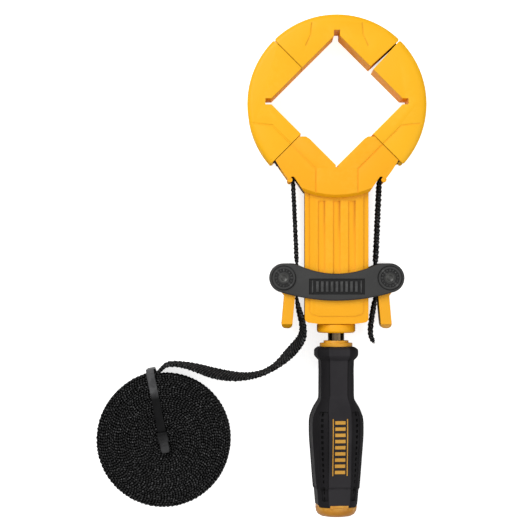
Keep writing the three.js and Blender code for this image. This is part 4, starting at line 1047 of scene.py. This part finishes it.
def yoke_outline():
    """Round ends, a dipped upper edge that nests on the ring, and a bowed lower edge."""
    lower_y, dip_y = PIVOT_Y - YOKE_SAG, PIVOT_Y + YOKE_DIP
    squares = PIVOT_X**2 + YOKE_SAG**2 - YOKE_END_RADIUS**2
    lower_radius = squares / (2 * (YOKE_SAG - YOKE_END_RADIUS))
    lower_centre = lower_y + lower_radius
    touch = -math.degrees(math.atan2(lower_centre - PIVOT_Y, PIVOT_X))
    dip_centre = dip_y + RING_RADIUS
    flat_y = PIVOT_Y + YOKE_END_RADIUS
    dip_end = math.sqrt(RING_RADIUS**2 - (dip_centre - flat_y) ** 2)
    dip_angle = -math.degrees(math.atan2(dip_centre - flat_y, dip_end))
    dip = arc(0, dip_centre, RING_RADIUS, -90, dip_angle - 3, 2.5)
    knee = [(dip_end - 0.9 * MM, flat_y - 0.65 * MM), (dip_end + 0.7 * MM, flat_y - 0.1 * MM)]
    end = arc(PIVOT_X, PIVOT_Y, YOKE_END_RADIUS, 90, touch, 6)
    lower = arc(0, lower_centre, lower_radius, touch, -90, 2)[1:]
    right = dip + knee + [(dip_end + 2.4 * MM, flat_y)] + end + lower
    return right + [(-x, y) for x, y in reversed(right) if x > 1e-6]


def blank_plate(name):
    """The yoke's outline, filled and extruded up from z = 0, its upper rim rounded."""
    corners = yoke_outline()
    plate = disc(name, len(corners), PIVOT_X)
    for vertex, (x, y) in zip(plate.data.vertices, corners):
        vertex.co = (x, y, 0)
    begin_edit(plate)
    extrude(PLATE_THICKNESS)
    bpy.ops.mesh.select_all(action="SELECT")
    bpy.ops.mesh.normals_make_consistent(inside=False)
    pick(plate, "EDGE", at_level(2, PLATE_THICKNESS))
    bevel_edges(1.25 * MM, segments=4)
    end_edit()
    return plate


def ribbed_panel(plate):
    """Sinks a panel into the middle of a plate. Returns the ribs that stand in it."""
    middle = PIVOT_Y - (YOKE_SAG - YOKE_DIP) / 2 + 0.4 * MM
    half_x, half_y = 17.5 * MM, 5 * MM
    begin_edit(plate)
    for x, y, normal in (
        (half_x, 0, (1, 0, 0)),
        (-half_x, 0, (1, 0, 0)),
        (0, middle + half_y, (0, 1, 0)),
        (0, middle - half_y, (0, 1, 0)),
    ):
        pick(plate, "FACE", facing((0, 0, 1), 0.999))
        bpy.ops.mesh.bisect(plane_co=(x, y, 0), plane_no=normal)

    def in_panel(face):
        centre = face.calc_center_median()
        level = face.normal.z > 0.999
        return level and abs(centre.x) < half_x and abs(centre.y - middle) < half_y

    pick(plate, "FACE", in_panel)
    bpy.ops.mesh.inset(thickness=0.2 * MM, depth=-0.4 * MM)
    bpy.ops.mesh.inset(thickness=0.1 * MM, depth=-0.5 * MM)
    end_edit()
    ribs = []
    for k in range(RIBS):
        wide, long = (0.9 * MM, 7.6 * MM) if k in (0, RIBS - 1) else (1.7 * MM, 6.6 * MM)
        place = ((k - RIBS // 2) * RIB_PITCH, middle, 2.6 * MM)
        ribs.append(block("panel_rib", (wide, long, 1.6 * MM), place, edge=0.22 * MM))
    return ribs


# From the dial's rim inwards: how far in, then how far up
DIAL_STEPS = (
    (0.0, 1.9), (0.35, 0.25), (0.6, 0.0), (0.25, -0.75), (2.25, 0.0),
    (0.12, 0.75), (0.45, 0.0), (0.05, -1.2),
)


def raised_dial(side):
    """A disc with a dished ring, ticks round it, and a bored hub for the head of the pin."""
    dial = disc("yoke_dial", DIAL_SIDES, DIAL_RADIUS)
    begin_edit(dial)
    for depth, rise in DIAL_STEPS:
        if depth:
            bpy.ops.mesh.inset(thickness=depth * MM, depth=0)
        if rise:
            extrude(rise * MM)
    end_edit()
    ticks = []
    for k in range(TICKS):
        turn = k * 360 / TICKS
        size = (1.7 * MM if k % 4 == 0 else 1.1 * MM, 0.5 * MM, 0.9 * MM)
        place = (*on_circle(0, 0, TICK_REACH, turn), 1.6 * MM)
        ticks.append(block("dial_tick", size, place, math.radians(turn), 0.1 * MM, segments=1))
    joined(dial, *ticks)
    dial.location = (side * PIVOT_X, PIVOT_Y, 2.65 * MM)
    settle(dial)
    return dial


def yoke_plate(name, with_panel):
    """A plate lying on its inner face, with a dial at each end. The front one has a panel."""
    plate = blank_plate(name)
    parts = ribbed_panel(plate) if with_panel else []
    for side in (-1, 1):
        seat = new_primitive(
            bpy.ops.mesh.primitive_cylinder_add,
            "dial_seat",
            vertices=DIAL_SIDES,
            radius=SEAT_RADIUS,
            depth=1.4 * MM,
            location=(side * PIVOT_X, PIVOT_Y, PLATE_THICKNESS),
        )
        cut_away(plate, seat)
        parts.append(raised_dial(side))
    return joined(plate, *parts)


def anvil(side):
    """The wall that a cam presses its band on, with the socket that takes the nut's wing."""
    size, place = (3.6 * MM, 15 * MM, 26.2 * MM), (side * 22.2 * MM, ANVIL_Y, 18.2 * MM)
    wall = block("yoke_anvil", size, place, edge=0.5 * MM)
    begin_edit(wall)
    pick(wall, "FACE", facing((-side, 0, 0)))
    bpy.ops.mesh.inset(thickness=0.2 * MM)
    end_edit()
    size, place = (5 * MM, 12.6 * MM, 8.6 * MM), (side * 20.4 * MM, ANVIL_Y, MID_HEIGHT)
    cut_away(wall, block("wing_socket", size, place))
    return wall


def make_yoke():
    front = yoke_plate("yoke_front_moulding", with_panel=True)
    front.location.z = FRONT_PLATE_Z
    dress(front, YOKE_BLACK, "yoke", ["yoke_front_plate"], angle=30)
    rear = yoke_plate("yoke_rear_moulding", with_panel=False)
    rear.rotation_euler = (0, math.pi, 0)
    rear.location.z = REAR_PLATE_Z
    settle(rear)
    joined(rear, anvil(-1), anvil(1))
    dress(rear, YOKE_BLACK, "yoke", ["yoke_rear_plate"], angle=30)


make_yoke()


# Handle grip

# Outer radius along the grip, as shares of its length and of its greatest radius
GRIP_PROFILE = (
    (0, 0.7), (0.012, 0.79), (0.022, 0.812), (0.052, 0.808), (0.065, 0.785), (0.085, 0.705),
    (0.14, 0.696), (0.32, 0.7), (0.36, 0.81), (0.398, 0.905), (0.437, 0.98), (0.475, 1),
    (0.53, 1), (0.59, 0.987), (0.66, 0.956), (0.735, 0.927), (0.81, 0.897), (0.884, 0.864),
    (0.893, 0.824), (0.95, 0.797), (0.985, 0.775), (1, 0.735),
)
# Along the grip: half the width of each flat, and how far it lies below the round of the grip
FLAT_HALF_WIDTHS = (
    (0, 6.6), (0.055, 6.6), (0.083, 5.6), (0.3, 5.4), (0.39, 7.1), (0.9, 7.0), (1, 6.4),
)
FLAT_DEPTHS = (
    (0, 0), (0.055, 0), (0.078, 0.9), (0.32, 0.9), (0.4, 0.7), (0.87, 0.7), (0.882, 1.2),
    (0.893, 0), (1, 0),
)
GRIP_TOP_Y = HANDLE_TOP_Y - 4.0 * MM
GRIP_END_Y = HANDLE_END_Y + 6.6 * MM
PANEL_TOP_SHARE = 0.4
PANEL_END_SHARE = 0.96
PANEL_ROWS = 16
# Shares of the way from one flat to the next that a panel takes up, and a slot in each of its rows
PANEL_SPAN = (0.06, 0.6)
SLOT_SPAN = (0.27, 0.48)
# Where the grip's rings lie at the turns of its profile, beside one at each row of the panels
TURN_SHARES = (
    0, 0.006, 0.014, 0.024, 0.04, 0.052, 0.058, 0.067, 0.078, 0.085, 0.1, 0.14, 0.19,
    0.25, 0.3, 0.325, 0.342, 0.36, 0.38, 0.87, 0.882, 0.893, 0.985, 0.994, 1,
)
# How far apart the rings are drawn, before they go to their places
RING_STEP = 10 * MM

# Column lines over a quarter: shares of a flat's half width, then shares of the corner's arc.
# On the neck a broad bevel borders each flat. On the belly the columns close up round the panels.
FLAT_COLUMNS = (-1, -0.67, -0.33, 0, 0.33, 0.67)
NECK_COLUMNS = (0, 0.15, 0.3, 0.4, 0.5, 0.6, 0.7, 0.85)
NECK_SUNK = (1, 1.2, 0, 0, 0, 0, 0, 1.2)
BELLY_COLUMNS = (0, 0.05, 0.12, 0.25, 0.5, 0.62, 0.8, 0.95)
BELLY_COLUMNS_TURNED = (0, 0.05, 0.2, 0.38, 0.5, 0.75, 0.88, 0.95)
QUARTER_COLUMNS = len(FLAT_COLUMNS) + len(NECK_COLUMNS)
# The shares of the length where the neck ends, and over which it becomes the belly
NECK_END_SHARE = 0.3
BELLY_RUN_IN = 0.08


def grip_section(share):
    """The grip's radius at a share of its length, and the half width and depth of a flat."""
    half, depth = (MM * shares_along(share, table) for table in (FLAT_HALF_WIDTHS, FLAT_DEPTHS))
    return GRIP_RADIUS * shares_along(share, GRIP_PROFILE), half, depth


def flat_level(share):
    """How far the flats lie from the grip's middle line."""
    radius, half, depth = grip_section(share)
    return math.sqrt(radius**2 - half**2) - depth


def grip_corner(share, column):
    """A point of the grip's section: its angle round the grip and its reach from the middle."""
    quarter, k = divmod(column, QUARTER_COLUMNS)
    radius, half, depth = grip_section(share)
    k -= len(FLAT_COLUMNS)
    if k <= 0:
        off, flat = half if k == 0 else half * FLAT_COLUMNS[k], flat_level(share)
        angle, reach = math.atan2(off, flat), math.hypot(off, flat)
    else:
        edge = math.asin(half / radius)
        belly = min(1, max(0, (share - NECK_END_SHARE) / BELLY_RUN_IN))
        wide = (BELLY_COLUMNS_TURNED if quarter % 2 else BELLY_COLUMNS)[k]
        round_it = NECK_COLUMNS[k] + belly * (wide - NECK_COLUMNS[k])
        angle = edge + round_it * (math.pi / 2 - 2 * edge)
        reach = radius - depth * NECK_SUNK[k] * (1 - belly)
    return quarter * math.pi / 2 + angle, reach


def share_at(y):
    """How far along the grip a y lies, as a share of its length."""
    return (GRIP_TOP_Y - y) / (GRIP_TOP_Y - GRIP_END_Y)


def place_on_grip(point):
    """A point's share of the length, its turn in degrees, and the turn where a flat ends."""
    share = share_at(point.y)
    turn = math.degrees(math.atan2(point.x, point.z - MID_HEIGHT) - HANDLE_TURN)
    radius, half, _ = grip_section(share)
    return share, turn, math.degrees(math.asin(half / radius))


def on_panel(first, last):
    """True for a face of the panels beside the upper and lower flats, between two shares."""

    def test(face):
        share, turn, edge = place_on_grip(face.calc_center_median())
        across = (abs((turn + 90) % 180 - 90) - edge) / (90 - 2 * edge)
        return PANEL_TOP_SHARE < share < PANEL_END_SHARE and first < across < last

    return test


def drawn_grip():
    """The grip's skin, drawn ring by ring and then put in its shape."""
    rows = list(np.linspace(PANEL_TOP_SHARE, PANEL_END_SHARE, PANEL_ROWS + 1))
    shares, columns = sorted(rows + list(TURN_SHARES)), 4 * QUARTER_COLUMNS
    grip = new_primitive(
        bpy.ops.mesh.primitive_circle_add, "soft_grip", vertices=columns, radius=GRIP_RADIUS
    )
    begin_edit(grip)
    for _ in shares[1:]:
        lowest = min(v.co.z for v in bmesh.from_edit_mesh(grip.data).verts)
        pick(grip, "EDGE", at_level(2, lowest))
        extrude(-RING_STEP)
    end_edit()
    for vertex in grip.data.vertices:
        share = shares[int(round(-vertex.co.z / RING_STEP))]
        around = math.degrees(math.atan2(vertex.co.y, vertex.co.x)) / 360
        angle, reach = grip_corner(share, int(round(around * columns)) % columns)
        turned = angle + HANDLE_TURN
        vertex.co = (
            reach * math.sin(turned),
            GRIP_TOP_Y + share * (GRIP_END_Y - GRIP_TOP_Y),
            MID_HEIGHT + reach * math.cos(turned),
        )
    return grip


def make_grip():
    """Rubber grip with four flats, and panels of slots beside the upper and lower flats."""
    grip = drawn_grip()
    begin_edit(grip)
    bpy.ops.mesh.normals_make_consistent(inside=False)
    pick(grip, "FACE", on_panel(*PANEL_SPAN))
    bpy.ops.mesh.inset(thickness=0.3 * MM, depth=-0.55 * MM)
    pick(grip, "FACE", on_panel(*SLOT_SPAN))
    bpy.ops.mesh.inset(thickness=0.75 * MM, depth=0, use_individual=True)
    bpy.ops.mesh.inset(thickness=0.2 * MM, depth=-0.8 * MM, use_individual=True)
    for y in (GRIP_TOP_Y, GRIP_END_Y):
        pick(grip, "EDGE", at_level(1, y, within=1e-5))
        extrude(0)
        bpy.ops.transform.resize(value=(0.78, 1, 0.78), center_override=(0, y, MID_HEIGHT))
        bpy.ops.mesh.edge_face_add()
    end_edit()
    dress(grip, GRIP_RUBBER, "handle", ["handle_grip"], angle=20)
    # The rounded sides take the duller rubber, which is also painted darker as shade.
    grip.data.materials.append(GRIP_SHADED_SIDE_RUBBER)
    for face in grip.data.polygons:
        _, turn, edge = place_on_grip(face.center)
        on_flat = abs((turn + 45) % 90 - 45) < edge + 0.5
        face.material_index = 0 if on_flat else 1


INLAY_TOP_Y = -95.3 * MM
INLAY_END_Y = -131.2 * MM
INLAY_BARS = 9
BAR_PITCH = 3.9 * MM


def make_grip_inlay():
    """Yellow rails and bars let into the flat that faces up."""
    middle, length = (INLAY_TOP_Y + INLAY_END_Y) / 2, INLAY_TOP_Y - INLAY_END_Y
    plans = [(side * 4.55 * MM, middle, 0.75 * MM, length) for side in (-1, 1)]
    first = INLAY_TOP_Y - 2.4 * MM
    plans += [(0, first - k * BAR_PITCH, 6.6 * MM, 2.2 * MM) for k in range(INLAY_BARS)]
    bars = []
    for x, y, wide, long in plans:
        bar = block("inlay_bar", (wide, long, 0.9 * MM), (x, y, 0))
        begin_edit(bar)
        bpy.ops.mesh.subdivide(number_cuts=6)
        pick(bar, "EDGE", lambda edge: edge.is_manifold and edge.calc_face_angle(0) > 1.0)
        bevel_edges(0.15 * MM)
        end_edit()
        bars.append(bar)
    inlay = joined(*bars)
    inlay.name = "grip_inlay"
    cos, sin = math.cos(HANDLE_TURN), math.sin(HANDLE_TURN)
    for vertex in inlay.data.vertices:
        x, y, z = vertex.co
        lift = z + flat_level(share_at(y))
        vertex.co = (x * cos + lift * sin, y, MID_HEIGHT + lift * cos - x * sin)
    dress(inlay, INLAY_YELLOW, "handle", angle=30)


make_grip()
make_grip_inlay()


# Moulded jaws, housing and levers


HOUSING_EDGE = 0.45 * MM
JAW_EDGE = 0.55 * MM
COLLAR_EDGE = 0.6 * MM
CORE_EDGE = 0.5 * MM
LEVER_EDGE = 0.8 * MM


def dress_jaws_and_housing():
    for name in ("front_housing", "rear_housing"):
        dress(refined_copy(name, HOUSING_EDGE), HOUSING_YELLOW, "head", [name])
    for name in ("left_jaw", "top_jaw", "right_jaw"):
        jaw = refined_copy(name, JAW_EDGE, merge=0.02 * MM)
        dress(jaw, YELLOW, name + "_body", [name])
    collar = refined_copy("bottom_collar", COLLAR_EDGE)
    dress(collar, HOUSING_YELLOW, "head", ["bottom_collar"])


def dress_handle_core():
    """The handle's core, with its flange above the grip in a lighter copy of the core's colour, as
    a painted highlight.
    """
    core = refined_copy("handle_core", CORE_EDGE)
    dress(core, CORE_AMBER, "handle", ["handle_core"])
    core.data.materials.append(LIT_FLANGE_AMBER)
    for face in core.data.polygons:
        face.material_index = 1 if face.center.y > GRIP_TOP_Y else 0


LEVER_NOSE = 2.8 * MM
NOSE_SLOPE = 1.8


def dress_levers():
    """The cam levers, whose noses thin down to their tips from both faces."""
    for side in ("left", "right"):
        name = side + "_cam_lever"
        lever = refined_copy(name, 0)
        tip_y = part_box(name)[0][1]
        begin_edit(lever)
        for back in (LEVER_NOSE, 1.0 * MM):
            bpy.ops.mesh.select_all(action="SELECT")
            bpy.ops.mesh.bisect(plane_co=(0, tip_y + back, 0), plane_no=(0, 1, 0))
        end_edit()
        for vertex in lever.data.vertices:
            drop = NOSE_SLOPE * max(0, LEVER_NOSE - (vertex.co.y - tip_y))
            vertex.co.z += drop * (-1 if vertex.co.z > MID_HEIGHT else 1)
        round_edges(lever, LEVER_EDGE, segments=3)
        dress(lever, LEVER_YELLOW, side + "_lever", [name])


dress_jaws_and_housing()
dress_handle_core()
dress_levers()


# Pins, screws and springs


def dress_pivot_pins():
    """Pins with rounded heads, and the dimple that their riveting leaves."""
    for side in ("left", "right"):
        name = side + "_pivot_pin"
        pin = refined_copy(name, 0.25 * MM, segments=2)
        begin_edit(pin)
        for outermost in (max, min):
            level = outermost(v.co.z for v in bmesh.from_edit_mesh(pin.data).verts)
            pick(pin, "FACE", at_level(2, level))
            for thickness, depth in ((0.9, 0), (0.5, -0.35), (0.5, -0.15)):
                bpy.ops.mesh.inset(thickness=thickness * MM, depth=depth * MM)
        end_edit()
        dress(pin, PIN_STEEL, "yoke", [name], angle=40)


HOUSING_SCREWS = 6


def dress_housing_screws():
    """Pan heads with a cross recess, driven from the back."""
    for number in range(1, HOUSING_SCREWS + 1):
        name = "housing_screw_%d" % number
        screw = refined_copy(name, 0.3 * MM, segments=2)
        low, high = (Vector(corner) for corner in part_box(name))
        middle = (low + high) / 2
        for turn in (0.3 + number, 0.3 + number + math.pi / 2):
            size = (3.2 * MM, 0.7 * MM, 2.4 * MM)
            cut_away(screw, block("driver_slot", size, (middle.x, middle.y, low.z), turn))
        dress(screw, BRIGHT_STEEL, "head", [name], angle=35)


WIRE_RADIUS = 0.45 * MM
SPRING_RADIUS = 3.95 * MM
SPRING_PITCH = 1.4 * MM
SPRING_END = 0.9 * MM
SPRING_FOOT_Z = MID_HEIGHT + BAND_WIDTH / 2 - 5.45 * MM
SPRING_COILS = 3
STEPS_PER_COIL = 24


def spring_line():
    """The coils from the foot up, with a short straight end each way."""
    last = SPRING_COILS * STEPS_PER_COIL
    line = [(SPRING_RADIUS, -SPRING_END, 0.0)]
    for i in range(last + 1):
        coils = i / STEPS_PER_COIL
        line.append((*on_circle(0, 0, SPRING_RADIUS, 360 * coils), SPRING_PITCH * coils))
    return line + [(SPRING_RADIUS, SPRING_END, SPRING_PITCH * SPRING_COILS)]


def make_lever_springs():
    """A round wire wound on each lever's hub."""
    for name, side in (("left", -1), ("right", 1)):
        wire = bpy.data.curves.new("lever_spring_wire", "CURVE")
        wire.dimensions = "3D"
        wire.bevel_depth = WIRE_RADIUS
        wire.bevel_resolution = 3
        wire.use_fill_caps = True
        line = spring_line()
        spline = wire.splines.new("POLY")
        spline.points.add(len(line) - 1)
        for point, (x, y, z) in zip(spline.points, line):
            point.co = (side * (PIVOT_X - x), PIVOT_Y + y, SPRING_FOOT_Z + z, 1)
        made = bpy.data.objects.new(name + "_spring_coil", wire)
        bpy.context.scene.collection.objects.link(made)
        select_only(made)
        bpy.ops.object.convert(target="MESH")
        spring = bpy.context.object
        weld(spring)
        dress(spring, BRIGHT_STEEL, "yoke", [name + "_lever_spring"], angle=50)


dress_pivot_pins()
dress_housing_screws()
make_lever_springs()

CARRIED_OVER = {
    "lead_screw": DARK_STEEL,
    "travelling_nut": BRONZE,
    "top_bush": BRONZE,
    "thrust_washer": BRONZE,
    "handle_pin": BRIGHT_STEEL,
}
for name, material in CARRIED_OVER.items():
    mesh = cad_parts[name].data
    mesh.materials.clear()
    mesh.materials.append(material)
